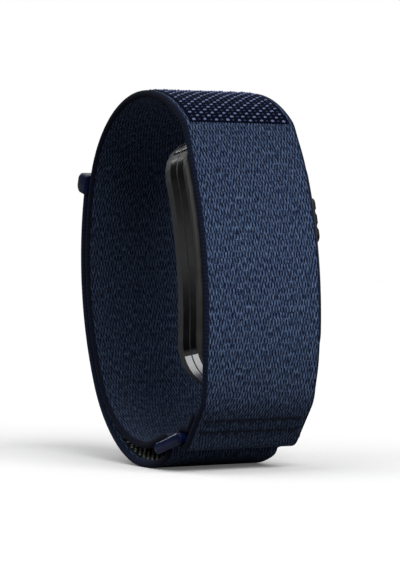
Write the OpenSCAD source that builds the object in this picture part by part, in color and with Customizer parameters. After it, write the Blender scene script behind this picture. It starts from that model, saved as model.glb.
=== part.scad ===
// Fitness tracker band, closed and standing on its edge: a woven strap with a
// hook and loop tail, a two-bar buckle, and a screenless sensor pod that sits
// in a cradle on the strap's inner side. Millimetres, +Z up. X runs across the
// strap, and the ring lies in the YZ plane with the pod on its -Y wall.

/* [Strap] */
// Width of the strap
strap_w = 22.2; // [16:0.1:28]
// Width of the strap where it backs the pod
strap_pod_w = 22.7; // [17:0.1:29]
// Length over which the strap widens to the pod
width_taper = 6; // [3:0.5:10]
// Thickness of the woven strap
strap_t = 1.25; // [0.8:0.05:1.6]
// Height of the loop pile on the strap's outer face
loop_h = 0.25; // [0.1:0.05:0.5]
// Thickness of the hook tape on the tail's inner face
hook_h = 0.2; // [0.1:0.05:0.5]
// Free height between the hook tape and the loop pile
pile_gap = 0.1; // [0.05:0.05:0.3]
// Bare margin on each side of the hook tape and the loop pile
tape_margin = 1.2; // [0.5:0.1:3]

/* [Ring path] */
// Radius of the crown on the pod's side of the top
crown_near_r = 21.7; // [16:0.1:28]
// Turn of that crown, in degrees
crown_near_turn = 40.2; // [32:0.1:44]
// Radius of the shoulder above the pod
shoulder_r = 5.2; // [4:0.1:10]
// Radius of the wall that carries the pod, at its outer face
pod_wall_r = 70.5; // [60:0.5:90]
// Lean of the pod towards the ring's middle, in degrees
pod_lean = 8.7; // [4:0.1:12]
// Wall of that radius above the cradle
wall_above = 0.7; // [0.5:0.1:4]
// Wall of that radius below the cradle
wall_below = 2.1; // [0.1:0.1:3]
// Radius of the heel below the pod
heel_r = 6.4; // [4:0.2:10]
// Slope of the wall where it reaches the buckle, in degrees from level
heel_slope = 53; // [48:1:58]
// Radius of the crown on the closure's side of the top
crown_far_r = 21.1; // [16:0.1:28]
// Turn of that crown, in degrees
crown_far_turn = 75; // [68:1:80]
// Radius of the closure wall
side_r = 52.4; // [44:0.2:60]
// Turn of the closure wall, in degrees
side_turn = 43.3; // [38:0.1:48]
// Radius of the bend where the two layers part
knee_r = 5; // [2:0.5:8]
// Radius of the inner layer along the bottom
sole_r = 19.2; // [16:0.2:28]
// Slope of the inner layer where the bottom begins, in degrees
sole_slope = 54; // [48:0.5:58]
// Height between the two layers above the foot
sole_gap = 2.05; // [1.4:0.05:4]
// Length of the flat foot
foot_l = 2.2; // [1:0.1:4]
// Distance from the lower bar to the start of the foot
foot_lead = 5.5; // [4:0.1:7]
// Part of the closure wall below the tail's peel line, in degrees
peel_back = 4; // [3:0.5:8]
// Part of the shoulder that the loop pile covers, in degrees
pile_start = 14; // [4:1:18]

/* [Buckle] */
// Radius of both bars
bar_r = 0.9; // [0.6:0.05:1.2]
// Distance between the bars' axes
bar_span = 7.5; // [6.8:0.1:9]
// Slope of the buckle, in degrees
buckle_slope = 17; // [10:1:24]
// Height of the buckle's side legs
leg_h = 2.1; // [1.9:0.1:3]
// Thickness of the side legs
leg_t = 0.95; // [0.7:0.05:1.4]
// Side play between the strap and the legs
leg_play = 0.15; // [0.1:0.05:0.4]
// Radial play of the sewn eye round the upper bar
eye_play = 0.05; // [0.02:0.01:0.1]
// Radial play of the tail's fold round the lower bar
fold_play = 0.3; // [0.28:0.02:0.5]
// Length of the straight wall above the upper bar
seam_run = 7.6; // [6.6:0.1:9]
// Length of the flap that is sewn to that wall
flap_l = 5.6; // [4.6:0.1:6.4]

/* [Stitching] */
// Distance from the flap's end to the first row
row_inset = 1.4; // [0.6:0.1:2]
// Distance between the two rows
row_gap = 2.4; // [1.2:0.1:2.6]
// Length of one stitch
stitch_l = 1.7; // [1:0.1:2.4]
// Distance between stitches
stitch_pitch = 2.2; // [2:0.1:4]
// Thickness of the thread
thread_t = 0.35; // [0.2:0.05:0.5]

/* [End tab] */
// Length of the tab along the strap
tab_l = 3.7; // [3:0.1:6]
// Height of the tab over the strap's outer face
tab_rise = 1.9; // [1:0.1:3]
// Overhang of the tab beyond each edge of the strap
tab_over = 0.4; // [0.2:0.1:1]
// Bevel of the tab's outer edges
tab_bevel = 0.8; // [0.4:0.1:1.4]
// Length of strap that the tab swallows
tab_grip = 2.6; // [2:0.1:2.8]

/* [Pod] */
// Length of the pod
pod_l = 43.2; // [40:0.2:50]
// Width of the pod
pod_w = 24; // [23.6:0.2:30]
// Corner radius of the pod's outline
pod_r = 8; // [6:0.5:10]
// Thickness of the pod's outer floor
floor_t = 1; // [0.9:0.05:1.4]
// Thickness of the band recess and the bands that fill it
band_t = 0.6; // [0.4:0.05:0.8]
// Thickness of the case wall behind the bands
wall_t = 1; // [0.8:0.05:1.4]
// Height of the base lip under the outer band
base_lip = 0.25; // [0.15:0.05:0.5]
// Height of the outer band
outer_band_h = 1.9; // [1.8:0.05:2.6]
// Height of the rib between the bands
rib_h = 0.4; // [0.2:0.05:0.6]
// Height of the inner band
inner_band_h = 2.1; // [1.8:0.05:2.6]
// Height of the case wall above the rib
collar_h = 0.4; // [0.2:0.05:0.6]
// Thickness of the case seal
seal_t = 0.3; // [0.2:0.05:0.5]
// Height of the bevel on the skin side
bevel_h = 2.3; // [1.4:0.1:2.6]
// Run of that bevel across the face
bevel_run = 0.3; // [0.2:0.1:1.4]
// Height of the raised sensor island
island_h = 0.8; // [0.6:0.1:1.6]
// Distance from the pod's edge to the sensor island
island_inset = 4; // [3:0.25:5]
// Thickness of the skin-side cover
cover_t = 1; // [0.8:0.05:1.3]
// Length of the silver inlay at the top end, along the pod
inlay_top = 3; // [2:0.1:6]
// Length of the silver inlay at the bottom end, along the pod
inlay_bottom = 5.2; // [2:0.1:7]

/* [Cradle] */
// Thickness of the cradle plate
cradle_t = 0.75; // [0.5:0.05:1.2]
// Rim of cradle plate beyond the pod
cradle_rim = 0.05; // [-0.2:0.05:0.5]
// Radius of the cradle's snap studs
stud_r = 1.6; // [1.2:0.1:2]
// Height of the snap studs
stud_h = 0.55; // [0.4:0.05:0.7]
// Distance between the two studs
stud_span = 22; // [16:1:26]
// Play between the pod and its cradle
snap_play = 0.05; // [0.03:0.01:0.1]

/* [Button] */
// Length of the side button
button_l = 8; // [6:0.2:10]
// Width of the side button
button_h = 2.4; // [2:0.1:2.8]
// Height of the button above the pod's side
button_rise = 1.5; // [0.6:0.05:1.8]
// Travel of the button
button_travel = 0.4; // [0.2:0.05:0.45]
// Distance from the pod's middle to the button
button_z = 6.6; // [4:0.2:9]
// Height of the button's middle above the pod's outer face
button_up = 1.9; // [1.8:0.05:2.1]
// Radius of the button's stem
stem_r = 0.6; // [0.4:0.05:0.7]
// Running play of the stem and of the cap in its window
stem_play = 0.05; // [0.03:0.01:0.1]
// Play round the button's cap
cap_play = 0.15; // [0.1:0.05:0.3]
// Distance between the button's ridges
ridge_pitch = 2.6; // [2:0.1:3]

/* [Electronics] */
// Length of the battery along the pod
battery_l = 21; // [16:0.5:24]
// Width of the battery
battery_w = 15; // [12:0.5:16]
// Thickness of the battery
battery_t = 2.3; // [1.6:0.1:2.5]
// Distance from the pod's middle to the battery's middle
battery_z = 4; // [2:0.5:5]
// Gap between the battery and the button's switch
battery_gap = 0.4; // [0.2:0.1:1]
// Thickness of the foam pad under the battery
pad_t = 0.25; // [0.1:0.05:0.4]
// Length of the main board
board_l = 32; // [30:0.5:33]
// Width of the main board
board_w = 18; // [17:0.5:19]
// Thickness of the main board
board_t = 0.5; // [0.4:0.05:0.8]
// Radius of the vibration motor
motor_r = 4; // [3:0.1:4.2]
// Thickness of the vibration motor
motor_t = 2.4; // [2:0.1:2.5]
// Distance from the pod's middle down to the motor
motor_z = 12.6; // [12:0.1:13.5]
// Radius of the motor's shaft
shaft_r = 0.4; // [0.3:0.05:0.6]
// Running play of the motor's rotor on its shaft
rotor_play = 0.04; // [0.02:0.01:0.08]
// Radius of the sensor window
window_r = 5.4; // [4.5:0.1:6]
// Thickness of the sensor window
window_t = 1; // [0.7:0.05:1.3]
// Side of one photodiode
diode_w = 2; // [1.4:0.1:2.4]
// Side of one LED
led_w = 1.1; // [0.8:0.1:1.4]
// Radius of the case screws
screw_r = 0.5; // [0.35:0.05:0.6]
// Radius of the case screws' heads
screw_head_r = 0.9; // [0.8:0.05:1]

/* [Hidden] */
$fn = 48;
// Angular step of the strap's facets, in degrees
facet = 2;
// Reach of a blend's handles, as a share of the distance that it spans
handle = 0.33;
// Gap between the strap and the rounded root of the tail
root_gap = 0.3;
// Gap round a loose inner part
air = 0.1;
// Stations of bare strap between the fold and the hook tape
bare_stations = 4;
// Overlap of a cutting tool with what it opens
cut = 0.5;
// Step between two outlines at one level
eps = 0.01;
// Size that clears the whole pod
clear = 60;
// Distance over which the flap leaves the wall
eye_ease = 0.4;
// Angle that the eye wraps round the upper bar, in degrees
eye_turn = 225;
// Angles at which the strap meets and leaves the lower bar
fold_rise = 20;
fold_drop = 25;
// Facets along the straight side of the faceted cover
side_steps = 14;
// Extra thickness of the inner shell's ring, on the inside
ring_extra = 0.4;
// Radius of the screw bosses
boss_r = 1.1;
// Length of the screws' shanks, and the height and sink of their heads
screw_l = 3.2;
screw_head_h = 0.35;
screw_sink = 0.5;
// Radius of the posts that carry the board's corners
board_post_r = 0.7;
// Height of the sensor window above its island
window_proud = 0.1;
// Thickness of the motor's can, and how far it sinks into the floor
can_t = 0.2;
motor_sink = 0.2;
hub_r = 1.2;
// Light barrier: its walls, the radius of the room for the LEDs, and their height
barrier_t = 0.4;
led_room = 1.9;
led_h = 0.4;
// Battery pad's margin, and the width and thickness of the battery's lead
pad_margin = 1;
lead_w = 4;
lead_t = 0.4;
// Shield can: width, length and height, and its gap to the light barrier
shield = [10, 6.2, 0.9];
shield_gap = 0.45;
processor_size = [5, 4.9, 0.45];
// Charging contacts: radius, spacing, and their gap to the shield can
contact_r = 0.8;
contact_pitch = 3;
contact_gap = 0.4;
// Temperature contact: radius and place along the pod
thermo_r = 1.4;
thermo_z = 13.4;
// Antenna: width, length, height and place along the pod
antenna_size = [12, 2, 0.8];
antenna_z = 8.2;
// Button switch: body, and the length of its plunger
switch_size = [1.9, 2.2, 3.2];
switch_nib = 0.25;
// Stem's reach inside the case wall, and the size of the clip on it
stem_in = 0.7;
clip_r = 0.85;
clip_t = 0.25;
// Radius of the hollows between the button's ridges
ridge_r = 0.8;
ridge_depth = 0.25;
// Seal round the stem
seal_r = 1;
button_seal_t = 0.4;

// ---- Stations: [y, z, heading] along the strap, seen from +X ----
function last(list) = list[len(list) - 1];

// The station moved along its heading, and to its left
function moved(s, along, left = 0) = [
    s.x + along * cos(s.z) - left * sin(s.z),
    s.y + along * sin(s.z) + left * cos(s.z),
    s.z
];

// Stations along an arc that starts at s; a positive turn bends to the left
function arc(s, r, turn) =
    let (n = max(2, ceil(abs(turn) / facet)), side = sign(turn))
    [for (k = [1:n])
        let (h = s.z + turn * k / n)
        [s.x + side * r * (sin(h) - sin(s.z)), s.y - side * r * (cos(h) - cos(s.z)), h]];

// Stations of a cubic curve from a to b that keeps both headings
function blend(a, b, n = 12) =
    let (reach = handle * norm([b.x - a.x, b.y - a.y]), p = moved(a, reach), q = moved(b, -reach))
    [for (k = [1:n])
        let (
            t = k / n,
            u = 1 - t,
            place = u * u * u * a + 3 * u * u * t * p + 3 * u * t * t * q + t * t * t * b,
            way = u * u * (p - a) + 2 * u * t * (q - p) + t * t * (b - q)
        )
        [place.x, place.y, atan2(way.y, way.x)]];

// The same stations walked the other way
function returned(list) =
    [for (i = [len(list) - 1:-1:0]) [list[i].x, list[i].y, list[i].z + 180]];

// The stations shifted to their left
function shifted(list, left) = [for (s = list) moved(s, 0, left)];

function flat(list) = [for (s = list) [s.x, s.y]];
function degrees_of(length, r) = length / r * 180 / PI;

// ---- The strap's path ----
// The outer face runs from the buckle up the pod's wall, over the top, down
// the closure wall and along the bottom to the lower bar. The material lies to
// the right of that line all the way.
upper_turn = asin((pod_l / 2 + cradle_rim + wall_above) / pod_wall_r);
lower_turn = asin((pod_l / 2 + cradle_rim + wall_below) / pod_wall_r);
shoulder_turn = 90 - pod_lean - upper_turn - crown_near_turn;
heel_turn = 90 - heel_slope + pod_lean - lower_turn;
knee_turn = 180 - crown_far_turn - side_turn - sole_slope;

function closure_walk(start) =
    let (
        crown = arc(start, crown_far_r, -crown_far_turn),
        side = arc(last(crown), side_r, -side_turn),
        knee = arc(last(side), knee_r, -knee_turn)
    )
    arc(last(knee), sole_r, -sole_slope);
apex_z = strap_t + sole_gap - last(closure_walk([0, 0, 0])).y;

crown_near = arc([0, apex_z, 180], crown_near_r, crown_near_turn);
shoulder_bare = arc(last(crown_near), shoulder_r, pile_start);
shoulder_rest = arc(last(shoulder_bare), shoulder_r, shoulder_turn - pile_start);
upper_wall = arc(last(shoulder_rest), pod_wall_r, upper_turn);
pod_at = last(upper_wall);
pod_wall = concat(upper_wall, arc(pod_at, pod_wall_r, lower_turn));
heel = arc(last(pod_wall), heel_r, heel_turn);

crown_far = arc([0, apex_z, 0], crown_far_r, -crown_far_turn);
side_wall = arc(last(crown_far), side_r, peel_back - side_turn);
side_foot = arc(last(side_wall), side_r, -peel_back);
knee = arc(last(side_foot), knee_r, -knee_turn);
sole = arc(last(knee), sole_r, -sole_slope);

// The sewn eye round the upper bar, and the fold round the lower bar
eye_r = bar_r + eye_play;
eye_start = moved(last(heel), seam_run);
flap_start = moved(eye_start, -flap_l);
eye_at = moved(eye_start, 0, strap_t + eye_r);
fold_r = bar_r + fold_play;
bar_at = [eye_at.x + bar_span * cos(buckle_slope), eye_at.y - bar_span * sin(buckle_slope)];
fold_start = moved([bar_at.x, bar_at.y, 180 - fold_rise], 0, -fold_r);
over_bar = blend(last(sole), fold_start);
fold = arc(fold_start, fold_r, 180 + fold_rise - fold_drop);
foot_start = [bar_at.x + foot_lead, strap_t, 360];
foot_end = moved(foot_start, foot_l);

// The tail lies on the closure wall: its inner face, from the peel line up
closure_gap = loop_h + pile_gap + hook_h;
tail_run = shifted(returned(concat([last(crown_far)], side_wall)), -closure_gap);
tail_root = tail_run[0];
tail_tip = last(tail_run);
peel_axis = moved(tail_root, 0, -strap_t / 2);
rise = blend(foot_end, moved(tail_root, -strap_t / 2 - root_gap));
outer_layer = concat([last(fold)], blend(last(fold), foot_start), [foot_end], rise);

over_top = concat(
    returned(concat(crown_near, shoulder_bare)), [[0, apex_z, 0]], crown_far, side_wall
);
strap_run = concat(
    returned(concat(shoulder_rest, pod_wall, heel, [eye_start])),
    over_top, side_foot, knee, sole, over_bar, fold, slice_from(outer_layer, 1)
);
function slice_from(list, first) = [for (i = [first:len(list) - 1]) list[i]];

// ---- Depths through the pod, from the strap's outer face inward ----
cradle_top = strap_t + cradle_t;
pod_d = cradle_top + snap_play;
floor_d = pod_d + floor_t;
lip_d = pod_d + base_lip;
rib_d = lip_d + outer_band_h;
rib_top = rib_d + rib_h;
collar_d = rib_top + collar_h;
seal_d = collar_d + seal_t;
cover_d = rib_top + inner_band_h;
face_d = cover_d + bevel_h;
island_d = face_d + island_h;
inner_wall = band_t + wall_t;
ring_inset = inner_wall + ring_extra;
board_d = floor_d + pad_t + battery_t + air;
board_top = board_d + board_t;
window_d = island_d + window_proud - window_t;
button_d = pod_d + button_up;

// ---- Frame: the box's middle is at X = 0 and Y = 0, and the foot at Z = 0 ----
side_reach = pod_w / 2 + cradle_rim;
button_reach = pod_w / 2 + button_rise;
tab_back = tab_grip - tab_l;
tab_profile = [
    moved(tail_tip, -tab_grip, hook_h), moved(tail_tip, -tab_back, hook_h),
    moved(tail_tip, -tab_back, tab_bevel - strap_t - tab_rise),
    moved(tail_tip, -tab_back - tab_bevel, -strap_t - tab_rise),
    moved(tail_tip, tab_bevel - tab_grip, -strap_t - tab_rise),
    moved(tail_tip, -tab_grip, tab_bevel - strap_t - tab_rise)
];
wall_y = min([for (s = concat(pod_wall, heel)) s.x]);
tail_y = max([for (s = tail_run) moved(s, 0, -strap_t).x]);
tab_y = max([for (p = tab_profile) p.x]);
plain_reach = max(side_reach, strap_w / 2 + leg_play + leg_t, strap_w / 2 + tab_over, strap_pod_w / 2);
mid_x = (max(button_reach, plain_reach) - plain_reach) / 2;
mid_y = (wall_y + max(tail_y, tab_y)) / 2;

module in_frame() {
    translate([-mid_x, -mid_y, 0]) children();
}

// ---- Strap ----
// Extrudes a YZ outline across the strap
module across(w) {
    rotate([90, 0, 90]) linear_extrude(w, center = true) children();
}

// The ribbon between two offsets to the right of the stations
module ribbon(list, from, to, w) {
    across(w) polygon(concat(flat(shifted(list, -from)), flat(returned(shifted(list, -to)))));
}

// Outline that lets the strap widen only behind the pod, seen from the pod
module widening() {
    low = last(pod_wall).y;
    high = pod_wall[0].y;
    rotate([90, 0, 0]) linear_extrude(clear, center = true) polygon([
        for (side = [1, -1])
            each side > 0
                ? [[strap_w / 2, low], [strap_pod_w / 2, low + width_taper],
                   [strap_pod_w / 2, high - width_taper], [strap_w / 2, high]]
                : [[-strap_w / 2, high], [-strap_pod_w / 2, high - width_taper],
                   [-strap_pod_w / 2, low + width_taper], [-strap_w / 2, low]]
    ]);
}

// The flap sewn to the wall, and the eye that it closes round the upper bar
module sewn_eye() {
    outer_r = strap_t + eye_r;
    round = arc(eye_start, outer_r, eye_turn);
    laid = moved(flap_start, 0, 2 * strap_t);
    parting = moved([laid.x, laid.y, laid.z + 180], outer_r + eye_ease - flap_l);
    across(strap_w) polygon(flat(concat([flap_start, eye_start], round, blend(last(round), parting), [laid])));
}

module strap_band() {
    in_frame() color("#2c3850") difference() {
        union() {
            ribbon(strap_run, 0, strap_t, strap_w);
            intersection() {
                ribbon(returned(concat([last(shoulder_rest)], pod_wall)), 0, strap_t, strap_pod_w);
                widening();
            }
            sewn_eye();
        }
        translate([0, eye_at.x, eye_at.y]) rotate([0, 90, 0])
            cylinder(r = eye_r, h = strap_w + 2 * cut, center = true);
    }
}

module loop_pile() {
    in_frame() color("#141a2a") ribbon(over_top, -loop_h, 0, strap_w - 2 * tape_margin);
}

module hook_tape_base() {
    in_frame() color("#3a4440")
        ribbon(slice_from(outer_layer, bare_stations), -hook_h, 0, strap_w - 2 * tape_margin);
}

// Two rows of stitches through the wall and the flap behind it
module seam_stitching() {
    count = floor((strap_w - 2 * tape_margin) / stitch_pitch);
    in_frame() color("#12182a")
        for (row = [row_inset, row_inset + row_gap], i = [0:count - 1]) {
            s = moved(flap_start, row);
            translate([(i - (count - 1) / 2) * stitch_pitch, s.x, s.y]) rotate([s.z, 0, 0])
                cube([stitch_l, thread_t, thread_t], center = true);
        }
}

// ---- Tail ----
module tail_strap() {
    in_frame() color("#2c3850") {
        ribbon(tail_run, 0, strap_t, strap_w);
        translate([0, peel_axis.x, peel_axis.y]) rotate([0, 90, 0])
            cylinder(d = strap_t, h = strap_w, center = true);
    }
}

module hook_tape_tail() {
    reach = ceil(tab_grip / (side_r * facet * PI / 180)) + 1;
    run = [for (i = [1:len(tail_run) - 1 - reach]) tail_run[i]];
    in_frame() color("#3a4440") ribbon(run, -hook_h, 0, strap_w - 2 * tape_margin);
}

module end_tab() {
    in_frame() color("#1b2440") difference() {
        across(strap_w + 2 * tab_over) polygon(flat(tab_profile));
        ribbon(tail_run, 0, strap_t, strap_w);
    }
}

// ---- Buckle ----
// A rectangular ring: two round bars, joined by a round-ended leg on each side
module buckle_loop() {
    inner = strap_w / 2 + leg_play;
    module leg_outline() {
        circle(d = leg_h);
        translate([bar_span, 0]) circle(d = leg_h);
        translate([0, -leg_h / 2]) square([bar_span, leg_h]);
    }
    in_frame() color("#1b2440")
        translate([0, eye_at.x, eye_at.y]) rotate([-buckle_slope, 0, 0]) {
            for (side = [-1, 1])
                translate([side * (inner + leg_t / 2), 0, 0]) across(leg_t) leg_outline();
            for (bar = [0, bar_span])
                translate([0, bar, 0]) rotate([0, 90, 0])
                    cylinder(r = bar_r, h = 2 * inner, center = true);
        }
}

// ---- Pod: X across, +Y into the ring, +Z up the wall, all from its middle ----
module in_pod() {
    in_frame() translate([0, pod_at.x, pod_at.y]) rotate([-pod_lean, 0, 0]) children();
}

// Turns a child up the pod's curve by a length along the strap's outer face
module along_pod(up) {
    translate([0, pod_wall_r, 0]) rotate([-degrees_of(up, pod_wall_r), 0, 0])
        translate([0, -pod_wall_r, 0]) children();
}

// The height along +Y of a depth, where the pod's own Z is z
function level(z, depth) = pod_wall_r - sqrt(pow(pod_wall_r - depth, 2) - z * z);

// The length up the pod that puts a part of that depth at the height z
function up_at(z, depth) = pod_wall_r * asin(z / (pod_wall_r - depth)) * PI / 180;

// Half of the pod's outline from its top to its bottom, drawn in by inset
function half_outline(inset) =
    let (r = pod_r - inset, x = pod_w / 2 - pod_r, z = pod_l / 2 - pod_r)
    concat(
        [for (a = [90:-15:0]) [x + r * cos(a), z + r * sin(a)]],
        [for (k = [1:side_steps - 1]) [x + r, z - 2 * z * k / side_steps]],
        [for (a = [0:-15:-90]) [x + r * cos(a), -z + r * sin(a)]]
    );

// The pod's outline as exact arcs, swept through its depth
module prism(inset) {
    r = pod_r - inset;
    rotate([90, 0, 0]) linear_extrude(clear, center = true) {
        for (x = [-1, 1], z = [-1, 1])
            translate([x * (pod_w / 2 - pod_r), z * (pod_l / 2 - pod_r)]) circle(r = r);
        square([pod_w - 2 * inset, pod_l - 2 * pod_r], center = true);
        square([pod_w - 2 * pod_r, pod_l - 2 * inset], center = true);
    }
}

// Everything between two depths
module layer(from, to) {
    translate([0, pod_wall_r, 0]) rotate([0, 90, 0]) difference() {
        cylinder(r = pod_wall_r - from, h = clear, center = true, $fn = 180);
        cylinder(r = pod_wall_r - to, h = clear + 2 * cut, center = true, $fn = 180);
    }
}

module slab(inset, from, to) {
    intersection() {
        prism(inset);
        layer(from, to);
    }
}

module rim(inset, inner, from, to) {
    difference() {
        slab(inset, from, to);
        prism(inner);
    }
}

// A box that follows the pod's curve
module block(w, l, from, to, x = 0) {
    intersection() {
        translate([x, 0, 0]) cube([w, clear, l], center = true);
        layer(from, to);
    }
}

// A cylinder that points into the ring, from one depth to another at height z
module post(r, x, z, from, to) {
    intersection() {
        translate([x, 0, z]) rotate([90, 0, 0]) cylinder(r = r, h = clear, center = true);
        layer(from, to);
    }
}

// A flat disc seated square to the pod's curve
module disc(r, up, from, to, x = 0) {
    along_pod(up) translate([x, from, 0]) rotate([-90, 0, 0]) cylinder(r = r, h = to - from);
}

// The outline extruded along X: a slot shape that stands up the pod
module slot(l, h, from, to) {
    translate([from, 0, 0]) rotate([90, 0, 90]) linear_extrude(to - from) {
        for (end = [-1, 1]) translate([0, end * (l - h) / 2]) circle(d = h);
        square([h, l - h], center = true);
    }
}

// Places a child on the button's axis, with X out of the pod's side
module at_button(x = 0) {
    along_pod(button_z) translate([x, button_d, 0]) children();
}

module rod(r, from, to) {
    translate([from, 0, 0]) rotate([0, 90, 0]) cylinder(r = r, h = to - from);
}

corner_reach = (pod_r - inner_wall - air - boss_r) * sqrt(0.5);
screw_x = pod_w / 2 - pod_r + corner_reach;
screw_z = pod_l / 2 - pod_r + corner_reach;
screw_floor = level(screw_z, pod_d) + screw_sink;
screw_spots = [for (x = [-1, 1], z = [-1, 1]) [x * screw_x, z * screw_z]];
stud_spots = [-stud_span / 2, stud_span / 2];
stud_tops = level(stud_span / 2, cradle_top) + stud_h;
case_x = pod_w / 2 - band_t;
post_x = board_w / 2 - board_post_r;
post_z = board_l / 2 - board_post_r;

// The button's stem ends inside the case wall, and the switch waits behind it
stem_end = case_x - wall_t - stem_in;
nib_end = stem_end - button_travel - stem_play;
switch_x = nib_end - switch_nib - switch_size.x;
battery_x = switch_x - battery_gap - battery_w / 2;

// Lengths up the pod at which the shield can and the contacts lie on the board
barrier_r = window_r - air;
shield_low = barrier_r + shield_gap + shield.y;
shield_z = -up_at(shield_low - shield.y / 2, board_top);
contact_z = -up_at(shield_low + contact_gap + contact_r, board_top);

// ---- Cradle ----
module cradle_plate() {
    in_pod() color("#101114") {
        slab(-cradle_rim, strap_t, cradle_top);
        for (z = stud_spots)
            intersection() {
                translate([0, stud_tops, z]) rotate([90, 0, 0]) cylinder(r = stud_r, h = stud_h + cut);
                layer(cradle_top - cradle_t / 2, floor_d);
            }
    }
}

// ---- Pod case ----
module outer_shell() {
    in_pod() color("#17181c") difference() {
        union() {
            slab(0, pod_d, lip_d);
            slab(band_t, pod_d, floor_d);
            rim(band_t, inner_wall, pod_d, collar_d);
            rim(0, inner_wall, rib_d, rib_top);
            for (x = [-1, 1], z = [-1, 1])
                post(board_post_r, x * post_x, z * post_z, pod_d, board_d);
        }
        for (z = stud_spots)
            translate([0, stud_tops + snap_play, z]) rotate([90, 0, 0])
                cylinder(r = stud_r + snap_play, h = clear);
        for (p = screw_spots) {
            translate([p.x, 0, p.y]) rotate([90, 0, 0])
                cylinder(r = screw_r + stem_play, h = clear, center = true);
            translate([p.x, screw_floor, p.y]) rotate([90, 0, 0])
                cylinder(r = screw_head_r + stem_play, h = clear);
        }
        disc(motor_r + air, -motor_z, floor_d - motor_sink, collar_d);
        button_window();
        at_button() {
            rod(stem_r + stem_play, 0, pod_w);
            rod(seal_r, case_x - button_seal_t, pod_w);
        }
    }
}

module button_window() {
    at_button() slot(button_l + 2 * cap_play, button_h + 2 * cap_play, case_x, pod_w);
}

module side_bands(from, to) {
    difference() {
        intersection() {
            rim(0, band_t, from, to);
            translate([0, 0, (inlay_bottom - inlay_top) / 2])
                cube([clear, clear, pod_l - inlay_top - inlay_bottom], center = true);
        }
        button_window();
    }
}

module end_inlays(up, length) {
    for (span = [[lip_d, rib_d], [rib_top, cover_d]])
        intersection() {
            rim(0, band_t, span[0], span[1]);
            translate([0, 0, up * (pod_l / 2 - length + clear / 2)]) cube(clear, center = true);
        }
}

module outer_side_bands() {
    in_pod() color("#0d0e11") side_bands(lip_d, rib_d);
}

module inner_side_bands() {
    in_pod() color("#0d0e11") side_bands(rib_top, cover_d);
}

module top_end_inlays() {
    in_pod() color("#b9bbbe") end_inlays(1, inlay_top);
}

module bottom_end_inlays() {
    in_pod() color("#b9bbbe") end_inlays(-1, inlay_bottom);
}

module case_seal() {
    in_pod() color("#2b2d33") rim(band_t, inner_wall, collar_d, seal_d);
}

module inner_shell() {
    in_pod() color("#17181c") difference() {
        union() {
            rim(band_t, ring_inset, seal_d, cover_d);
            for (p = screw_spots) post(boss_r, p.x, p.y, floor_d, cover_d);
        }
        for (p = screw_spots)
            translate([p.x, screw_floor + screw_l, p.y]) rotate([90, 0, 0])
                cylinder(r = screw_r, h = clear);
    }
}

module case_screws() {
    in_pod() color("#8d9096") for (p = screw_spots)
        translate([p.x, screw_floor, p.y]) rotate([-90, 0, 0]) {
            cylinder(r = screw_r, h = screw_l);
            translate([0, 0, -screw_head_h]) cylinder(r = screw_head_r, h = screw_head_h);
        }
}

// A closed skin through outlines of [inset, depth], from the case to the skin
module loft(levels) {
    rings = [for (l = levels)
        let (right = half_outline(l[0]), n = len(right))
        concat(
            [for (p = right) [p.x, level(p.y, l[1]), p.y]],
            [for (i = [n - 1:-1:0]) [-right[i].x, level(right[i].y, l[1]), right[i].y]]
        )];
    n = len(rings[0]);
    top = (len(levels) - 1) * n;
    polyhedron(
        points = [for (ring = rings) each ring],
        faces = concat(
            [for (k = [0:n / 2 - 2]) each [[k, k + 1, n - 2 - k], [k, n - 2 - k, n - 1 - k]]],
            [for (l = [0:len(levels) - 2], k = [0:n - 1])
                let (a = l * n + k, b = l * n + (k + 1) % n) each [[a, a + n, b + n], [a, b + n, b]]],
            [for (k = [0:n / 2 - 2])
                each [[top + k, top + n - 2 - k, top + k + 1], [top + k, top + n - 1 - k, top + n - 2 - k]]]
        )
    );
}

module skin_side_cover() {
    in_pod() color("#3c3e43") difference() {
        loft([
            [0, cover_d],
            [bevel_run, face_d],
            [island_inset, face_d + eps],
            [island_inset + island_h, island_d]
        ]);
        slab(ring_inset, cover_d - cut, face_d - cover_t);
        slab(island_inset + cover_t + ring_extra, cover_d, island_d - cover_t);
        disc(window_r, 0, cover_d, island_d + cut);
        disc(thermo_r, thermo_z, cover_d, island_d + cut);
        for (i = [-1:1]) disc(contact_r, contact_z, cover_d, island_d + cut, i * contact_pitch);
    }
}

// ---- Sensor side ----
module sensor_window() {
    in_pod() color("#0a0c12") disc(window_r, 0, window_d, island_d + window_proud);
}

module light_barrier() {
    in_pod() color("#050506") intersection() {
        union() {
            ring_wall(barrier_r - barrier_t, barrier_r);
            ring_wall(led_room, led_room + barrier_t);
        }
        layer(board_top, window_d - 3 * air);
    }
}

module ring_wall(inner, outer) {
    rotate([90, 0, 0]) difference() {
        cylinder(r = outer, h = clear, center = true);
        cylinder(r = inner, h = clear + 2 * cut, center = true);
    }
}

// A small part on the board, at x and at a length up the pod
module chip(size, up, x = 0) {
    along_pod(up) intersection() {
        translate([x, 0, 0]) cube([size.x, clear, size.y], center = true);
        layer(board_top, board_top + size.z);
    }
}

module leds() {
    in_pod() color("#63d27a") for (a = [90, 210, 330])
        chip([led_w, led_w, led_h], led_room / 2 * sin(a), led_room / 2 * cos(a));
}

module photodiodes() {
    place = (led_room + barrier_r) / 2;
    in_pod() color("#2a2340") for (a = [0:90:270])
        chip([diode_w, diode_w, led_h], place * sin(a), place * cos(a));
}

module temperature_contact() {
    in_pod() color("#c9cbcf") disc(thermo_r, thermo_z, board_top + air, island_d + window_proud);
}

module charging_contacts() {
    in_pod() color("#c8a75a") for (i = [-1:1])
        disc(contact_r, contact_z, board_top + air, island_d + window_proud, i * contact_pitch);
}

// ---- Electronics ----
module main_board() {
    in_pod() color("#1f5a3a") block(board_w, board_l, board_d, board_top);
}

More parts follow.
